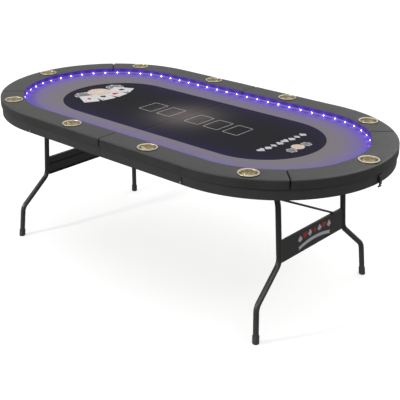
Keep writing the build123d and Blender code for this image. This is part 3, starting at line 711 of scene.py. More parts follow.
def pad_profile(count):
    """Padding section as two matched lines of (radius, height): the vinyl skin from the outer hem over the top
    to the inner wall's foot, and the rebate that sits on the ring, in the same order."""
    top, outer, inner = RAIL_TOP, OUTER_R, INNER_R
    corner_out, corner_in, hem = 0.009, 0.006, 0.0025
    gap = 0.0003

    def corner(centre, size, start, end, n, power):
        """Rounded corner |x|^p + |y|^p = size^p between two angles."""
        t = np.radians(np.linspace(start, end, n))
        c, s = np.cos(t), np.sin(t)
        x = np.sign(c) * np.abs(c) ** (2 / power) * size
        y = np.sign(s) * np.abs(s) ** (2 / power) * size
        return stack(centre[0] + x, centre[1] + y)

    skin = np.concatenate(
        (
            [[DECK_R + gap, HEM_Z + 0.0004]],
            corner((outer - hem, HEM_Z + hem), hem, -90, 0, 5, 2.0),
            stack(np.full(8, outer), np.linspace(HEM_Z + 2 * hem, top - corner_out - 0.002, 8)),
            corner((outer - corner_out, top - corner_out), corner_out, 0, 90, 16, 2.7),
            np.stack(
                (np.linspace(outer - corner_out - 0.002, inner + corner_in + 0.002, 22), np.full(22, top)), -1
            ),
            corner((inner + corner_in, top - corner_in), corner_in, 90, 180, 12, 2.4),
            stack(np.full(6, inner), np.linspace(top - corner_in - 0.002, CLOTH_TOP + gap, 6)),
        )
    )
    rebate = np.array(
        [
            [DECK_R + gap, HEM_Z + 0.0004],
            [DECK_R + gap, DECK_TOP + gap],
            [RING_OUT + gap, DECK_TOP + gap],
            [RING_OUT + gap, RING_TOP],
            [RING_IN - gap, RING_TOP],
            [RING_IN - gap, CLOTH_TOP + gap],
            [INNER_R, CLOTH_TOP + gap],
        ]
    )

    return resample(skin, count), resample(rebate, count, keep_corners=True)


def rail_place(along, radius):
    """Point of the right-hand rail: along runs from the fold on the far side, round the end and back to the
    fold on the near side. It is a straight run, a half turn and a straight run."""
    arc = math.pi * OUTER_R
    turn = np.clip((along - END_X) / OUTER_R, 0, math.pi)
    straight = np.where(along < END_X, along, np.where(along > END_X + arc, 2 * END_X + arc - along, END_X))
    x = straight + radius * np.sin(turn)
    y = radius * np.cos(turn)
    return x, y


def build_pad(name, side, start, end, cups, seed):
    """Padding section carried along the rail between two seams. The skin falls away from the middle by the
    crown, is drawn in near each seam, is pressed down round each cup and carries slow ripples."""
    rail, _, _ = settings()
    count = 76
    skin, rebate = pad_profile(count)
    span = end - start
    near = np.array([0, 0.0006, 0.0014, 0.0026, 0.0042, 0.0062, 0.0086, 0.0115])      # crowded at a seam
    first, pitch = 0.016, 0.0055
    middle = np.linspace(first, span - first, max(int(span / pitch), 8))
    stations = start + np.r_[near, middle, (span - near)[::-1]]
    along = stations[:, None]
    r = np.broadcast_to(skin[:, 0], (len(stations), count)).copy()
    z = np.broadcast_to(skin[:, 1], (len(stations), count)).copy()
    x, y = rail_place(along, r)
    centre_r, centre_z = (OUTER_R + INNER_R) / 2, (RAIL_TOP + HEM_Z) / 2
    # outward direction of the skin in its own section
    step = np.gradient(skin, axis=0)
    out_r, out_z = step[:, 1], -step[:, 0]
    size = np.hypot(out_r, out_z)
    out_r, out_z = out_r / size, out_z / size
    flip = np.sign(np.sum(out_r * (skin[:, 0] - centre_r) + out_z * (skin[:, 1] - centre_z)))
    out_r, out_z = out_r * flip, out_z * flip
    top = np.clip(out_z, 0, 1) ** 2
    held = np.clip(np.minimum(np.arange(count), np.arange(count)[::-1]) / 5.0, 0, 1)
    # distance to the nearer seam
    d = np.minimum(along - start, end - along)
    pull = rail.tuck * np.clip(1 - d / rail.tuck_reach, 0, 1) ** 2.2
    across = (r - RAIL_MID_R) / ((OUTER_R - INNER_R) / 2)
    crown = -rail.crown * np.clip(np.abs(across), 0, 1) ** 2.5 * top
    slow = hash_noise(x * 14 + seed, y * 14, z * 14, seed)
    fine = hash_noise(x * 42, y * 42 + seed, z * 42, seed + 3)
    swell = rail.ripple * (0.75 * slow + 0.25 * fine) - rail.ripple
    # gathered folds that fan out from a seam and die within 5 cm
    gather = 0.00045 * np.exp(-d / 0.018) * np.sin(r * 420 + z * 380 + 2.0 * slow) * (1 - np.exp(-d / 0.004))
    offset = (swell + gather - pull) * held
    r = r + out_r * offset
    z = z + out_z * offset + crown * held
    for cx, cy in cups:
        away = np.hypot(x - cx, y - cy)
        angle = np.arctan2(y - cy, x - cx)
        press = rail.dimple * (1 - np.clip((away - CUP_RIM_R) / 0.016, 0, 1)) ** 2
        crease = 0.00018 * np.sin(angle * 17 + seed * 3) * np.exp(-np.abs(away - CUP_RIM_R - 0.004) / 0.006)
        z = z - (press + crease) * top
    x, y = rail_place(along, r)
    skin_points = stack(side * x, y, z)
    x, y = rail_place(along, np.broadcast_to(rebate[:, 0], r.shape))
    rebate_points = stack(side * x, y, np.broadcast_to(rebate[:, 1], r.shape))
    loop = np.concatenate((skin_points, rebate_points[:, ::-1]), axis=1)
    rows, columns = loop.shape[:2]
    faces = grid_faces(rows, columns, wrap_columns=True)
    caps = []
    for row in (0, rows - 1):
        base = row * columns
        k = np.arange(count - 1)
        caps.append(stack(base + k, base + k + 1, base + columns - 2 - k, base + columns - 1 - k))
    faces = np.concatenate((faces, *caps))
    made = finish_mesh(new_object(name, loop, faces), 1e-5)
    hole, low, high = CUP_WALL_R + 0.0005, 0.70, 0.78
    for index, (cx, cy) in enumerate(cups):
        outline = [(0, low), (hole, low), (hole, high), (0, high)]
        cutter = spin(f"{name}_cutter_{index}", outline, (side * cx, cy, 0), steps=72)
        cut = made.modifiers.new("hole", "BOOLEAN")
        cut.operation = "DIFFERENCE"
        cut.solver = "EXACT"
        cut.object = cutter
        bpy.context.view_layer.objects.active = made
        bpy.ops.object.modifier_apply(modifier=cut.name)
        bpy.data.objects.remove(cutter)
    return sharpen(made, 50)


class CARDTABLE_OT_rail(bpy.types.Operator):
    """Builds the six pads of the padded rail."""

    bl_idname = "card_table.rail"
    bl_label = "Padded rail"

    def execute(self, context):
        material = vinyl_material()
        total = 2 * END_X + math.pi * OUTER_R
        seam = END_X + math.pi * OUTER_R / 4
        for label, side in SIDES:
            centres = {n: (abs(x), y) for n, x, y in cup_centres(label)}
            back = [centres[label + "_back_corner_cup"], centres[label + "_back_inner_cup"]]
            front = [centres[label + "_front_corner_cup"], centres[label + "_front_inner_cup"]]
            tip = [centres[label + "_end_cup"]]
            seed = 1.0 if side > 0 else 7.0
            for part, start, end, cups in (
                ("back_pad", CLOSE, seam - FOLD_X, back),
                ("end_pad", seam + FOLD_X, total - seam - FOLD_X, tip),
                ("front_pad", total - seam + FOLD_X, total - CLOSE, front),
            ):
                seed += 1.7
                made = build_pad(f"{label}_{part}_padding", side, start, end, cups, seed)
                give(made, label + "_half", material, [f"{label}_{part}"])
        return {"FINISHED"}


# ---- play cloth ------------------------------------------------------------------------------
def cloth_points(rows, columns):
    """Half oval as a grid: x runs from the fold to the tip, closer together in the round end where it follows
    a sine; y runs between the edges. The cloth lies flat with faint unevenness and a turned-down fold edge."""
    bend = 0.0012       # width of the turned-down edge
    straight = np.linspace(CLOSE, END_X, rows // 2, endpoint=False)
    turn = np.linspace(0, math.pi / 2, rows - rows // 2)
    x = np.r_[straight, END_X + CLOTH_R * np.sin(turn)]
    half = np.r_[np.full(len(straight), CLOTH_R), CLOTH_R * np.cos(turn)]
    x[1] = CLOSE + bend
    v = np.sin(np.linspace(-math.pi / 2, math.pi / 2, columns))
    xs = np.broadcast_to(x[:, None], (rows, columns))
    ys = half[:, None] * v[None, :]
    uneven = 0.00012 * hash_noise(xs * 9, ys * 9, 0.3, 2.0) - 0.00012
    fold = -0.0008 * np.clip(1 - (xs - CLOSE) / bend, 0, 1)
    return xs, ys, CLOTH_TOP + uneven + fold


class CARDTABLE_OT_cloth(bpy.types.Operator):
    """Lays the play cloth of both halves."""

    bl_idname = "card_table.cloth"
    bl_label = "Play cloth"

    def execute(self, context):
        rows, columns = 96, 81
        for label, side in SIDES:
            x, y, z = cloth_points(rows, columns)
            above = stack(side * x, y, z).reshape(-1, 3)
            below = stack(side * x, y, np.full_like(z, DECK_TOP + 0.0002)).reshape(-1, 3)
            faces = grid_faces(rows, columns)
            size = rows * columns
            rim = np.concatenate(
                (
                    np.arange(columns),
                    np.arange(1, rows) * columns + columns - 1,
                    (rows - 1) * columns + np.arange(columns - 2, -1, -1),
                    np.arange(rows - 2, 0, -1) * columns,
                )
            )
            following = np.roll(rim, -1)
            wall = stack(rim, following, following + size, rim + size)
            made = new_object(
                f"{label}_cloth_top",
                np.concatenate((above, below)),
                np.concatenate((faces, faces[:, ::-1] + size, wall)),
            )
            finish_mesh(made, 1e-5)
            sharpen(made, 40)
            give(made, label + "_half", cloth_material(), [label + "_play_cloth"])
        return {"FINISHED"}


# ---- flat printed shapes ---------------------------------------------------------------------
def outline_rounded(width, height, radius, steps=6):
    """Rectangle with quarter-circle corners, counter-clockwise."""
    points = []
    for index, (sx, sy) in enumerate(((1, 1), (-1, 1), (-1, -1), (1, -1))):
        t = np.radians(np.linspace(90 * index, 90 * index + 90, steps))
        x, y = sx * (width / 2 - radius), sy * (height / 2 - radius)
        points.append(stack(x + radius * np.cos(t), y + radius * np.sin(t)))
    return np.concatenate(points)


def outline_circle(radius, centre=(0, 0), steps=48):
    t = full_turn(steps)
    return stack(centre[0] + radius * np.cos(t), centre[1] + radius * np.sin(t))


def outline_heart(size):
    """Heart one size high: x = 16 sin^3 t and y = 13 cos t - 5 cos 2t - 2 cos 3t - cos 4t, scaled."""
    t = full_turn(48)
    x = 16 * np.sin(t) ** 3
    y = 13 * np.cos(t) - 5 * np.cos(2 * t) - 2 * np.cos(3 * t) - np.cos(4 * t)
    return stack(-x, y + 2.5) * size / 29.0


def outline_diamond(size):
    """Diamond with slightly hollowed sides: cosine and sine each raised to the power 2.2."""
    t = full_turn(40)
    c, s = np.cos(t), np.sin(t)
    return np.stack(
        (np.sign(c) * np.abs(c) ** 2.2 * size * 0.40, np.sign(s) * np.abs(s) ** 2.2 * size * 0.5), -1
    )


def stem(size, top):
    """Flared foot of a spade or club."""
    return np.array(
        [(-0.05, top), (-0.07, -0.28), (-0.20, -0.48), (0.20, -0.48), (0.07, -0.28), (0.05, top)]
    ) * size


def suit(kind, size):
    """Outlines that make one suit sign, upright along +Y."""
    if kind == "heart":
        return [outline_heart(size)]
    if kind == "diamond":
        return [outline_diamond(size)]
    if kind == "spade":
        return [outline_heart(size * 0.86) * (1, -1) + (0, 0.07 * size), stem(size, 0.0)]
    lobes = ((0.23, 0, 0.24, 28), (0.23, -0.22, -0.08, 28), (0.23, 0.22, -0.08, 28), (0.12, 0, 0.03, 20))
    circles = [outline_circle(size * r, (x * size, y * size), steps) for r, x, y, steps in lobes]
    return circles + [stem(size, 0.0)]


class Patches:
    """Collects thin closed plates cut to outlines and makes one object from them."""

    def __init__(self, place):
        self.place = place          # turns (points in the flat, height) into points in space
        self.points, self.faces, self.kinds, self.count = [], [], [], 0

    def add(self, outline, low, high, kind, hole=None):
        """Plate between two heights; a hole has as many points as the outline."""
        outline = np.asarray(outline, float)
        n = len(outline)
        rings = [outline] if hole is None else [outline, np.asarray(hole, float)]
        for ring in rings:
            self.points += [self.place(ring, low), self.place(ring, high)]
        base = self.count
        k = np.arange(n)
        after = (k + 1) % n
        if hole is None:
            faces = [tuple((base + n + k).tolist()), tuple((base + k[::-1]).tolist())]
            walls = [stack(base + k, base + after, base + n + after, base + n + k)]
        else:
            faces = []
            low_in, high_in = base + 2 * n, base + 3 * n
            walls = [
                stack(base + k, base + after, base + n + after, base + n + k),
                stack(low_in + after, low_in + k, high_in + k, high_in + after),
                stack(base + n + k, base + n + after, high_in + after, high_in + k),
                stack(base + after, base + k, low_in + k, low_in + after),
            ]
        for wall in walls:
            faces += [tuple(f) for f in wall.tolist()]
        self.faces += faces
        self.kinds += [kind] * len(faces)
        self.count += n * 2 * len(rings)

    def build(self, name, materials):
        made = new_object(name, np.concatenate(self.points), self.faces, smooth=False)
        for material in materials:
            made.data.materials.append(material)
        made.data.polygons.foreach_set("material_index", np.array(self.kinds, dtype=np.int32))
        return finish_mesh(made, 0)


def turned(outline, degrees, centre):
    """Outline turned counter-clockwise and moved."""
    a = math.radians(degrees)
    c, s = math.cos(a), math.sin(a)
    return outline @ np.array([[c, s], [-s, c]]) + np.asarray(centre, float)


def on_cloth(points, height):
    return np.column_stack((points, np.full(len(points), CLOTH_TOP + height)))


def print_chip(patches, centre, radius, low, inks, turn=0.0):
    """Printed chip: disc, edge blocks and inner ring."""
    body, mark = inks
    thick = 0.00004
    patches.add(outline_circle(radius) + centre, low, low + thick, body)
    for index in range(6):
        a = np.radians(turn + index * 60 + np.array([-9, -3, 3, 9]))
        outer = stack(np.cos(a), np.sin(a)) * radius * 1.001
        inner = (stack(np.cos(a), np.sin(a)) * radius * 0.80)[::-1]
        patches.add(np.concatenate((outer, inner)) + centre, low + thick, low + 1.6 * thick, mark)
    patches.add(
        outline_circle(radius * 0.66) + centre, low + thick, low + 1.5 * thick, mark,
        hole=outline_circle(radius * 0.61) + centre,
    )


class CARDTABLE_OT_prints(bpy.types.Operator):
    """Prints the card outlines, the fan of cards, the chips and the suit signs on the cloth."""

    bl_idname = "card_table.prints"
    bl_label = "Cloth prints"

    def execute(self, context):
        _, cloth, _ = settings()
        inks = [
            ink_material("line", tuple(cloth.line)),
            ink_material("card_white", (0.60, 0.59, 0.60)),
            ink_material("red", (0.52, 0.020, 0.016)),
            ink_material("black", (0.016, 0.016, 0.018)),
            ink_material("beige", (0.60, 0.47, 0.36)),
            ink_material("grey", (0.17, 0.167, 0.18)),
            ink_material("silver", (0.50, 0.49, 0.53)),
        ]
        line, white, red, black, beige, grey, silver = range(7)
        height = cloth.print_height
        places = {"left": (-0.2085, -0.09), "right": (0.09, 0.2065, 0.3235)}
        for label, _ in SIDES:
            patches = Patches(on_cloth)
            for x in places[label]:
                outer = turned(outline_rounded(0.0865, 0.123, 0.007), 0, (x, 0.004))
                inner = turned(outline_rounded(0.0813, 0.1178, 0.0046), 0, (x, 0.004))
                patches.add(outer, 0.0, height, line, hole=inner)
            if label == "left":
                print_chip(patches, (-0.616, -0.085), 0.052, 0.0, (grey, white), 12)
                print_chip(patches, (-0.609, 0.122), 0.048, 0.0, (grey, white), 40)
                signs = ("diamond", "spade", "heart", "club")
                colours = (red, black, red, black)
                for index, angle in enumerate((-27.2, -9.0, 9.0, 27.2)):
                    a = math.radians(angle)
                    low = 0.00008 + index * 0.00004
                    middle = (-0.77 + 0.249 * math.cos(a), 0.249 * math.sin(a))
                    card = turned(outline_rounded(0.112, 0.080, 0.006), angle, middle)
                    edge = turned(outline_rounded(0.1145, 0.0825, 0.007), angle, middle)
                    patches.add(edge, low, low + 0.00002, black)
                    patches.add(card, low, low + 0.00004, white)
                    corner_at = turned(np.array([[0.043, -0.028]]), angle, middle)[0]
                    for size, place in ((0.036, middle), (0.011, corner_at)):
                        for shape in suit(signs[index], size):
                            patches.add(turned(shape, angle - 90, place), low, low + 0.00005, colours[index])
                print_chip(patches, (-0.600, 0.004), 0.063, 0.00028, (beige, white), 0)
                patches.add(
                    turned(outline_rounded(0.020, 0.052, 0.004), 0, (-0.600, 0.004)), 0.00032, 0.00036, white
                )
            else:
                row = ("heart", "spade", "diamond", "club", "heart", "spade", "diamond", "club")
                for index, kind in enumerate(row):
                    y = -0.132 + index * 0.0405
                    bow = 0.571 + 0.006 * (index - 3.5) / 3.5
                    for number, shape in enumerate(suit(kind, 0.038)):
                        patches.add(turned(shape, 90, (bow, y)), 0.0, height + number * 0.00001, silver)
                print_chip(patches, (0.662, -0.050), 0.025, 0.0, (grey, white), 10)
                print_chip(patches, (0.662, 0.058), 0.025, 0.0, (grey, white), 30)
                print_chip(patches, (0.655, 0.005), 0.030, 0.00010, (beige, white), 0)
            made = patches.build(f"{label}_cloth_print", inks)
            give(made, label + "_half")
        return {"FINISHED"}


# ---- cup holders -----------------------------------------------------------------------------
def cup_profile():
    """Cup wall from the floor's middle outside, up, over the rolled rim and down the stepped inside."""
    rim, wall, top = CUP_RIM_R - 0.0012, CUP_WALL_R, float(CUP_HIGH[2])
    seat = RAIL_TOP - 0.0012
    roll = [
        (rim - 0.0011 + 0.0011 * math.cos(a), top - 0.0013 + 0.0013 * math.sin(a))
        for a in np.radians(np.linspace(-60, 100, 10))
    ]
    lip = [
        (wall + 0.0012 + 0.0022 * math.cos(a), top - 0.0024 + 0.0022 * math.sin(a))
        for a in np.radians(np.linspace(90, 180, 8))
    ]
    inside = wall - 0.001
    low = CUP_FLOOR + 0.001
    step_z = CUP_FLOOR + 0.0265
    return [
        (0, CUP_FLOOR + 0.0006), (wall - 0.010, CUP_FLOOR + 0.0006), (wall - 0.0075, CUP_FLOOR),
        (wall - 0.0035, CUP_FLOOR + 0.0004), (wall - 0.0012, CUP_FLOOR + 0.0028),
        (wall - 0.0012, step_z - 0.002), (wall, step_z), (wall, seat - 0.001),
        (wall + 0.0005, seat - 0.0002), (rim - 0.0016, seat - 0.0002), *roll, (rim - 0.0030, top - 0.0004),
        (wall + 0.0030, top - 0.0003), *lip, (inside, top - 0.008), (inside, step_z + 0.0012),
        (inside - 0.0006, step_z + 0.0002), (inside - 0.0019, step_z - 0.0006),
        (inside - 0.0022, step_z - 0.0020), (inside - 0.0022, low + 0.0040),
        (inside - 0.0034, low + 0.0012), (inside - 0.0062, low), (inside - 0.0085, low + 0.0002),
        (inside - 0.0100, low + 0.0009), (inside - 0.0118, low + 0.0009), (inside - 0.0130, low + 0.0004),
        (0.010, low + 0.0004), (0.004, low + 0.0004), (0, low + 0.0004),
    ]


class CARDTABLE_OT_cups(bpy.types.Operator):
    """Spins the ten metal cup holders with their rolled rims."""

    bl_idname = "card_table.cups"
    bl_label = "Cup holders"

    def execute(self, context):
        _, _, metal = settings()
        tarnish = (0.30, 0.235, 0.125)
        material = metal_material("cup_metal_drawn", tuple(metal.cup), tarnish, 0.25, (0.08, 0.0001))
        for label, _ in SIDES:
            for node, x, y in cup_centres(label):
                made = spin(node + "_shell", cup_profile(), (x, y, 0), steps=120)
                sharpen(made, 60)
                give(made, label + "_half", material, [node])
        return {"FINISHED"}


# ---- light strip -----------------------------------------------------------------------------
def light_places():
    """Place and heading of every light of the right half, evenly spaced along the strip's face."""
    along = (np.arange(LIGHT_COUNT) + 0.5) * LIGHT_PITCH
    turn = np.clip((along - END_X) / STRIP_FACE_R, 0, math.pi)
    straight = np.where(
        along < END_X, along, np.where(along > LIGHT_PATH - END_X, LIGHT_PATH - along, END_X)
    )
    return straight + STRIP_FACE_R * np.sin(turn), STRIP_FACE_R * np.cos(turn), turn


def light_package():
    """Points, in (across, up, out), and faces of a light's body, a frustum wider at the strip, and of the low
    lens on it, whose rings of ten points close on a middle point above and one below."""
    half, deep, around = 0.0025, 0.0009, 10
    square = ((-1, -1), (1, -1), (1, 1), (-1, 1))
    body = np.array([(a * half * k, b * half * k, d) for d, k in ((0.0, 1.0), (deep, 0.94)) for a, b in square])
    body_faces = [(0, 3, 2, 1), (4, 5, 6, 7), (0, 1, 5, 4), (1, 2, 6, 5), (2, 3, 7, 6), (3, 0, 4, 7)]
    t = full_turn(around)
    rings = [
        stack(k * 0.0022 * np.cos(t), k * 0.0022 * np.sin(t), np.full(around, deep + rise))
        for k, rise in ((1.0, 0.0), (0.92, 0.00022), (0.55, 0.00028))
    ]
    lens = np.concatenate((*rings, [(0, 0, deep + 0.0003)], [(0, 0, deep - 0.0001)]))
    k = np.arange(around)
    after = (k + 1) % around
    crown = stack(20 + k, 20 + after, np.full(around, 30))
    base = stack(after, k, np.full(around, 31))
    return (body, [np.array(body_faces)]), (lens, [grid_faces(3, around, wrap_columns=True), crown, base])


class CARDTABLE_OT_lights(bpy.types.Operator):
    """Sets a light package at each place on the strip."""

    bl_idname = "card_table.lights"
    bl_label = "Light strip"

    def execute(self, context):
        lens = kept(
            "led_lens_lit",
            {"Emission Strength": 34.0, "Emission Color": (0.52, 0.42, 1.0)},
            (("drawn_metal", {"Colour": (0.75, 0.72, 0.95), "Tarnish": (0.5, 0.45, 0.9), "Roughness": 0.3}),),
            None,
        )
        housing = coated_material("led_housing", (0.62, 0.60, 0.66), 0.4, 0.0)
        xs, ys, turns = light_places()
        across = stack(np.cos(turns), -np.sin(turns))[:, None]
        inward = stack(-np.sin(turns), -np.cos(turns))[:, None]
        origin = stack(xs, ys)[:, None]
        for label, side in SIDES:
            parts = []
            for (points, face_sets), material in zip(light_package(), (housing, lens)):
                flat = origin + across * points[None, :, 0:1] + inward * points[None, :, 2:3]
                up = np.broadcast_to(STRIP_MID_Z + points[None, :, 1:2], (len(xs), len(points), 1))
                whole = np.concatenate((flat, up), -1) * (side, 1, 1)
                shift = (np.arange(len(xs)) * len(points))[:, None, None]
                faces = [f for one in face_sets for f in (one[None] + shift).reshape(-1, one.shape[1]).tolist()]
                name = f"{label}_light_part_{len(parts)}"
                parts.append(new_object(name, whole, faces, smooth=material is lens))
                parts[-1].data.materials.append(material)
            made = finish_mesh(join_named(f"{label}_strip_lights", parts), 0)
            give(made, label + "_half", None, [label + "_led_chips"])
        return {"FINISHED"}


# ---- leg details -----------------------------------------------------------------------------
def on_leg(side, points):
    """Points of the upright leg drawing (out, y, height) turned outwards about the pivot."""
    out, up = points[..., 0] - LEG_X, points[..., 2] - LEG_Z
    c, s = math.cos(SPLAY), math.sin(SPLAY)
    return stack(side * (LEG_X + out * c - up * s), points[..., 1], LEG_Z + up * c + out * s)


class CARDTABLE_OT_panel_prints(bpy.types.Operator):
    """Prints the suit signs and the ribbon on the outer faces of the leg panels."""

    bl_idname = "card_table.panel_prints"
    bl_label = "Panel prints"

    def execute(self, context):
        silver = coated_material("panel_silver", (0.52, 0.52, 0.56), 0.35, 0.10)
        red = coated_material("panel_red", (0.42, 0.012, 0.016), 0.35, 0.10)
        for label, side in SIDES:
            def on_panel(points, height, side=side):
                face = np.full(len(points), LEG_X + PANEL_FACE + height)
                drop = (LEG_Z - points[:, 1]) / math.cos(SPLAY)
                return on_leg(side, np.column_stack((face, points[:, 0], LEG_Z - drop)))

            patches = Patches(on_panel)
            signs = ("spade", "heart", "club", "diamond", "spade", "heart", "club")
            for index, kind in enumerate(signs):
                y = -0.098 + index * 0.0365
                z = 0.3635 + 0.006 * (1 - ((index - 3) / 3.0) ** 2)
                ink = 1 if kind in ("heart", "diamond") else 0
                for number, shape in enumerate(suit(kind, 0.031)):
                    flat = shape * (side, 1) + (y, z)
                    patches.add(flat, 0.0, 0.00012 + number * 0.00001, ink)
            # ribbon: a band that follows a low arch, with a notch cut in each end
            y = np.linspace(-0.112, 0.130, 40)
            t = (y - y.mean()) / (y[-1] - y.mean())
            arch = 0.3205 + 0.0155 * (1 - t**2)
            band = np.concatenate(
                (
                    stack(y, arch - 0.0075),
                    [(y[-1] - 0.006, arch[-1])],
                    stack(y, arch + 0.0075)[::-1],
                    [(y[0] + 0.006, arch[0])],
                )
            )
            patches.add(band, 0.0, 0.00012, 0)
            made = patches.build(f"{label}_panel_print", [silver, red])
            give(made, label + "_legs")
        return {"FINISHED"}


class CARDTABLE_OT_feet(bpy.types.Operator):
    """Spins the ribbed rubber feet."""

    bl_idname = "card_table.feet"
    bl_label = "Rubber feet"

    def execute(self, context):
        material = coated_material("foot_rubber_moulded", (0.018, 0.018, 0.018), 0.62, 0.10, (0.4, 0.0004))
        radius, bore, floor = 0.0153, 0.01255, 0.012
        groove = radius - 0.0009
        profile = [(0, 0), (radius * 0.80, 0), (radius * 0.92, 0.0006)]
        profile += [(radius * 0.985, 0.0024), (radius, 0.0045)]
        for z in 0.0085 + 0.0052 * np.arange(5):
            profile += [(radius, z - 0.0012), (groove, z - 0.0004), (groove, z + 0.0004), (radius, z + 0.0012)]
        profile += [(radius, 0.0345), (radius - 0.0004, 0.0358), (0.0128, 0.0362), (bore, 0.0350)]
        profile += [(bore, floor), (0, floor)]
        for label, side in SIDES:
            parts = []
            for sign in (-1, 1):
                made = spin(f"{label}_foot_{'a' if sign < 0 else 'b'}", profile, (0, 0, 0), steps=64)
                co = np.zeros(len(made.data.vertices) * 3)
                made.data.vertices.foreach_get("co", co)
                co = co.reshape(-1, 3)
                co[:, 0] += side * (LEG_X + FOOT_OUT - co[:, 2] * FOOT_OUT / LEG_Z)
                co[:, 1] += sign * (FOOT_Y - co[:, 2] * SHIN_SLOPE)
                made.data.vertices.foreach_set("co", co.ravel())
                made.data.update()
                parts.append(sharpen(made, 40))
            made = join_named(f"{label}_rubber_feet", parts)
            give(made, label + "_legs", material, [label + "_foot_caps"])
        return {"FINISHED"}


def carry_bead(name, line, radius, ripple, pitch):
    """Weld bead: a circle carried along a line of points, its radius swelling by a sine of the distance so that
    it looks laid in overlapping drops, and closing to nothing at both ends."""
    line = np.asarray(line, float)
    step = np.r_[0, np.cumsum(np.linalg.norm(np.diff(line, axis=0), axis=1))]
    heading = np.gradient(line, axis=0)
    heading /= np.linalg.norm(heading, axis=1)[:, None]
    aside = np.cross(heading, (1.0, 0.0, 0.0))
    thin = np.linalg.norm(aside, axis=1) < 1e-3
    aside[thin] = (0.0, 1.0, 0.0)
    aside /= np.linalg.norm(aside, axis=1)[:, None]
    up = np.cross(heading, aside)
    size = radius * (1 + ripple * np.abs(np.sin(math.pi * step / pitch)))
    ends = np.clip(np.minimum(step, step[-1] - step) / (1.5 * radius), 0, 1)
    size = size * np.sqrt(1 - (1 - ends) ** 2)
    t = full_turn(10)
    ring = np.cos(t)[None, :, None] * aside[:, None] + np.sin(t)[None, :, None] * up[:, None]
    points = line[:, None] + size[:, None, None] * ring
    faces = grid_faces(len(line), len(t), wrap_columns=True)
    return finish_mesh(new_object(name, points, faces))


class CARDTABLE_OT_welds(bpy.types.Operator):
    """Lays the weld beads that join the panels and the braces to the leg tubes."""

    bl_idname = "card_table.welds"
    bl_label = "Weld beads"

    def execute(self, context):
        count = 60
        for label, side in SIDES:
            low, high = low_high(label + "_leg_panel")
            runs = []
            face = np.full(count, LEG_X + PANEL_FACE + 0.0002)
            for sign in (-1, 1):
                for start, end in ((0.008, 0.034), (0.052, 0.078)):
                    edge = np.full(count, sign * (high[1] + 0.0011))
                    run = stack(face, edge, np.linspace(low[2] + start, low[2] + end, count))
                    runs.append((run, 0.0017, 0.20, 0.0030))
            # round the brace's upper end, where it meets the tube
            low, high = low_high(label + "_leg_brace")
            round_brace, brace_in = 0.0056, 0.001
            turn = np.linspace(0.3, 2 * math.pi - 0.3, count)
            middle = LEG_Z - (LEG_Z - high[2] + 0.0062) / math.cos(SPLAY)
            x, z = LEG_X - brace_in + round_brace * np.cos(turn), middle + round_brace * np.sin(turn)
            runs.append((stack(x, np.full(count, low[1] + 0.0058), z), 0.0013, 0.22, 0.0024))
            parts = [
                carry_bead(f"{label}_bead_{index}", on_leg(side, run), *shape)
                for index, (run, *shape) in enumerate(runs)
            ]
            made = join_named(f"{label}_weld_beads", parts)
            give(made, label + "_legs", leg_material())
        return {"FINISHED"}


# ---- fasteners -------------------------------------------------------------------------------
def screw_head(name, centre, turn):
    """Pan head that points down: a low dome whose height drops inside two crossed slots."""
    radius, height, under = 0.0036, 0.0016, -0.0002
    rings, steps = 9, 32
    rho = np.linspace(0, 1, rings)[:, None]
    angle = full_turn(steps)[None, :]
    x, y = rho * np.cos(angle), rho * np.sin(angle)
    dome = np.sqrt(np.clip(1 - 0.86 * rho**2, 0, 1)) * np.ones_like(angle)
    edge = np.clip((1 - rho) / 0.08, 0, 1) * np.ones_like(angle)
    cross = np.minimum(np.abs(x), np.abs(y))
    slot = np.clip(1 - cross / 0.14, 0, 1) * np.clip((0.62 - rho) / 0.12, 0, 1)
    z = height * (dome * (0.35 + 0.65 * edge) - 0.75 * slot)
    c, s = math.cos(turn), math.sin(turn)
    top = stack(x * c - y * s, x * s + y * c, z / radius) * radius
    skirt = top[-1] * (1, 1, 0) + (0, 0, under)
    points = np.concatenate((top.reshape(-1, 3), skirt, [[0, 0, under]])) * (1, 1, -1)
    k = np.arange(steps)
    after = (k + 1) % steps
    last, low = (rings - 1) * steps, rings * steps
    wall = stack(last + k, low + k, low + after, last + after)
    foot = stack(low + k, np.full(steps, low + steps), low + after)
    faces = grid_faces(rings, steps, wrap_columns=True).tolist() + wall.tolist() + foot.tolist()
    return finish_mesh(new_object(name, points + np.asarray(centre), faces), 1e-7)


class CARDTABLE_OT_screws(bpy.types.Operator):
    """Sets the wood screws of the hinges, leg brackets and stay brackets."""

    bl_idname = "card_table.screws"
    bl_label = "Screws"

    def execute(self, context):
        material = metal_material("screw_zinc", (0.60, 0.60, 0.62), (0.34, 0.32, 0.28), 0.26)
        rng = np.random.default_rng(4)
        hinge_end = HINGE_HIGH[1] - 0.045
        bracket_plate, stay_plate = 0.003, 0.0025
        for label, side in SIDES:
            places = []
            for y in (-hinge_end, 0.0, hinge_end):
                for step in (-0.030, 0.0, 0.030):
                    places.append((side * (0.020 + 0.003 * (step == 0)), y + step, HINGE_LOW[2] + 0.002))
            low, high = low_high(label + "_leg_brackets")
            for sign in (-1, 1):
                for x in (low[0] + 0.008, high[0] - 0.008):
                    for inset in (0.014, 0.028):
                        places.append((x, sign * (high[1] - inset), DECK_UNDER - bracket_plate))
            low, high = low_high(label + "_stay_brackets")
            for sign in (-1, 1):
                for inset in (0.012, 0.022):
                    places.append(((low[0] + high[0]) / 2, sign * (high[1] - inset), DECK_UNDER - stay_plate))
            parts = [
                screw_head(f"{label}_screw_{index}", place, float(rng.uniform(0, 3)))
                for index, place in enumerate(places)
            ]
            made = join_named(f"{label}_screws", parts)
            give(made, label + "_half", material)
        return {"FINISHED"}


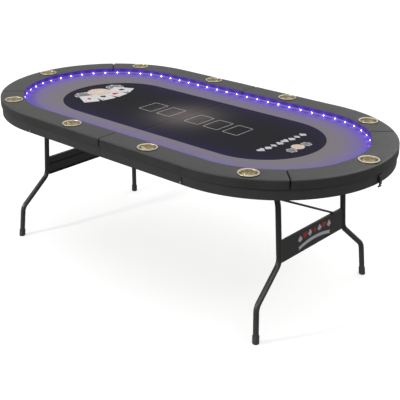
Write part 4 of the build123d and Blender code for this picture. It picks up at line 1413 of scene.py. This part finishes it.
# ---- finishes of the CAD parts -----------------------------------------------------------------
class CARDTABLE_OT_finishes(bpy.types.Operator):
    """Gives every CAD part that stays visible its finish."""

    bl_idname = "card_table.finishes"
    bl_label = "Finishes"

    def execute(self, context):
        _, _, metal = settings()
        finishes = (
            (board_material(), "deck_board rail_base"),
            (
                coated_material("apron_laminate_face", tuple(metal.apron), 0.36, 0.04, (0.10, 0.0003)),
                "centre_beam side_apron",
            ),
            (
                leg_material(),
                "back_leg_tube front_leg_tube leg_panel leg_brace "
                "tip_latch_base tip_latch_lever tip_latch_bail front_latch_hook back_latch_hook",
            ),
            (
                metal_material("plated_steel_bright", (0.56, 0.57, 0.59), (0.30, 0.29, 0.27), 0.24),
                "leg_brackets stay_brackets stay_deck_links stay_leg_links "
                "hinge_leaves hinge_pins latch_keepers side_latch_studs",
            ),
            (
                coated_material("black_plastic_moulded", (0.012, 0.012, 0.013), 0.40, 0.08, (0.3, 0.0004)),
                "light_control_box power_button",
            ),
            (strip_material(), "led_strip"),
        )
        finish_of = {part: material for material, parts in finishes for part in parts.split()}
        for name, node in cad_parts.items():
            if node.hide_render:
                continue
            part = name.removeprefix("left_").removeprefix("right_")
            if part not in finish_of:
                raise RuntimeError(f"no finish is listed for {name}")
            node.data.materials.clear()
            node.data.materials.append(finish_of[part])
        return {"FINISHED"}


# ---- stage -------------------------------------------------------------------------------------
def look_at(made, target):
    """Turns an object so that its -Z axis points at the target."""
    direction = Vector(target) - made.location
    made.rotation_euler = direction.to_track_quat("-Z", "Y").to_euler()


class CARDTABLE_OT_stage(bpy.types.Operator):
    """Sets the floor, the lights and the camera."""

    bl_idname = "card_table.stage"
    bl_label = "Stage"

    def execute(self, context):
        scene = context.scene
        size, under = 40.0, -0.0002
        corners = [(-size, -size, under), (size, -size, under), (size, size, under), (-size, size, under)]
        floor = new_object("floor", corners, [(0, 1, 2, 3)], smooth=False)
        material, g, principled = make_material(
            "floor_paper",
            {
                "Specular IOR Level": 0.1, "Roughness": 0.9,
                "Emission Color": (1.0, 1.0, 1.0), "Emission Strength": 0.58,
            },
        )
        tone = g.mix(g.noise(g.place(), 3.0, 2.0), (0.46, 0.46, 0.46), (0.49, 0.49, 0.49))
        g.put(principled.inputs["Base Color"], tone)
        floor.data.materials.append(material)
        world = bpy.data.worlds.new("studio")
        world.use_nodes = True
        sky = Graph(world.node_tree)
        shade = world.node_tree.nodes["Background"]
        _, _, up = sky.axes(sky.add("ShaderNodeTexCoord", out="Generated"))
        above = sky.add("ShaderNodeMapRange", {0: up, 1: 0.0, 2: 1.0, 3: 0.34, 4: 1.30})
        below = sky.add("ShaderNodeMapRange", {0: up, 1: -0.5, 2: 0.0, 3: 0.22, 4: 0.34})
        light = sky.blend(sky.math("GREATER_THAN", up, 0.0), below, above)
        seen = sky.add("ShaderNodeLightPath", out="Is Camera Ray")
        sky.put(shade.inputs["Strength"], sky.blend(seen, light, 1.0))
        shade.inputs["Color"].default_value = (1.0, 1.0, 1.0, 1.0)
        scene.world = world
        floor.visible_diffuse = False
        floor.visible_glossy = False
        for name, place, power, width, target in (
            ("key_light", (-2.0, -4.5, 2.8), 135.0, 0.45, (0, 0, 0.5)),
            ("fill_light", (3.6, -1.6, 4.0), 30.0, 2.4, (0, 0, 0.6)),
            ("back_light", (0.6, 3.8, 3.4), 40.0, 2.8, (0, 0, 0.7)),
        ):
            data = bpy.data.lights.new(name, "AREA")
            data.energy = power
            data.size = width
            made = bpy.data.objects.new(name, data)
            made.location = place
            look_at(made, target)
            scene.collection.objects.link(made)
        data = bpy.data.cameras.new("camera")
        data.lens = 79.19
        data.shift_x = 0.0388
        data.shift_y = -0.0972
        camera = bpy.data.objects.new("camera", data)
        camera.location = (2.6906, -2.9643, 2.0093)
        look_at(camera, (0, 0, 0.5))
        scene.collection.objects.link(camera)
        scene.camera = camera
        scene.view_settings.view_transform = "Standard"
        scene.view_settings.look = "None"
        return {"FINISHED"}


PIECES = (
    CARDTABLE_OT_rail,
    CARDTABLE_OT_cloth,
    CARDTABLE_OT_prints,
    CARDTABLE_OT_cups,
    CARDTABLE_OT_lights,
    CARDTABLE_OT_panel_prints,
    CARDTABLE_OT_feet,
    CARDTABLE_OT_welds,
    CARDTABLE_OT_screws,
    CARDTABLE_OT_finishes,
    CARDTABLE_OT_stage,
)


class CARDTABLE_PT_panel(bpy.types.Panel):
    """Lists the sizes, the colours and the pieces."""

    bl_idname = "CARDTABLE_PT_panel"
    bl_label = "Card table"
    bl_space_type = "VIEW_3D"
    bl_region_type = "UI"
    bl_category = "Card table"

    def draw(self, context):
        for group in settings():
            box = self.layout.box()
            for key in group.bl_rna.properties.keys():
                if key not in ("rna_type", "name"):
                    box.prop(group, key)
        column = self.layout.column()
        for piece in PIECES:
            column.operator(piece.bl_idname)


CLASSES = (CARDTABLE_PG_rail, CARDTABLE_PG_cloth, CARDTABLE_PG_metal, *PIECES, CARDTABLE_PT_panel)


def register():
    for item in CLASSES:
        bpy.utils.register_class(item)
    bpy.types.Scene.card_table_rail = bpy.props.PointerProperty(type=CARDTABLE_PG_rail)
    bpy.types.Scene.card_table_cloth = bpy.props.PointerProperty(type=CARDTABLE_PG_cloth)
    bpy.types.Scene.card_table_metal = bpy.props.PointerProperty(type=CARDTABLE_PG_metal)


def unregister():
    del bpy.types.Scene.card_table_metal
    del bpy.types.Scene.card_table_cloth
    del bpy.types.Scene.card_table_rail
    for item in reversed(CLASSES):
        bpy.utils.unregister_class(item)


def main():
    register()
    for piece in PIECES:
        group, name = piece.bl_idname.split(".")
        if getattr(getattr(bpy.ops, group), name)() != {"FINISHED"}:
            raise RuntimeError(f"{piece.bl_label} did not finish")


if __name__ == "__main__":
    main()
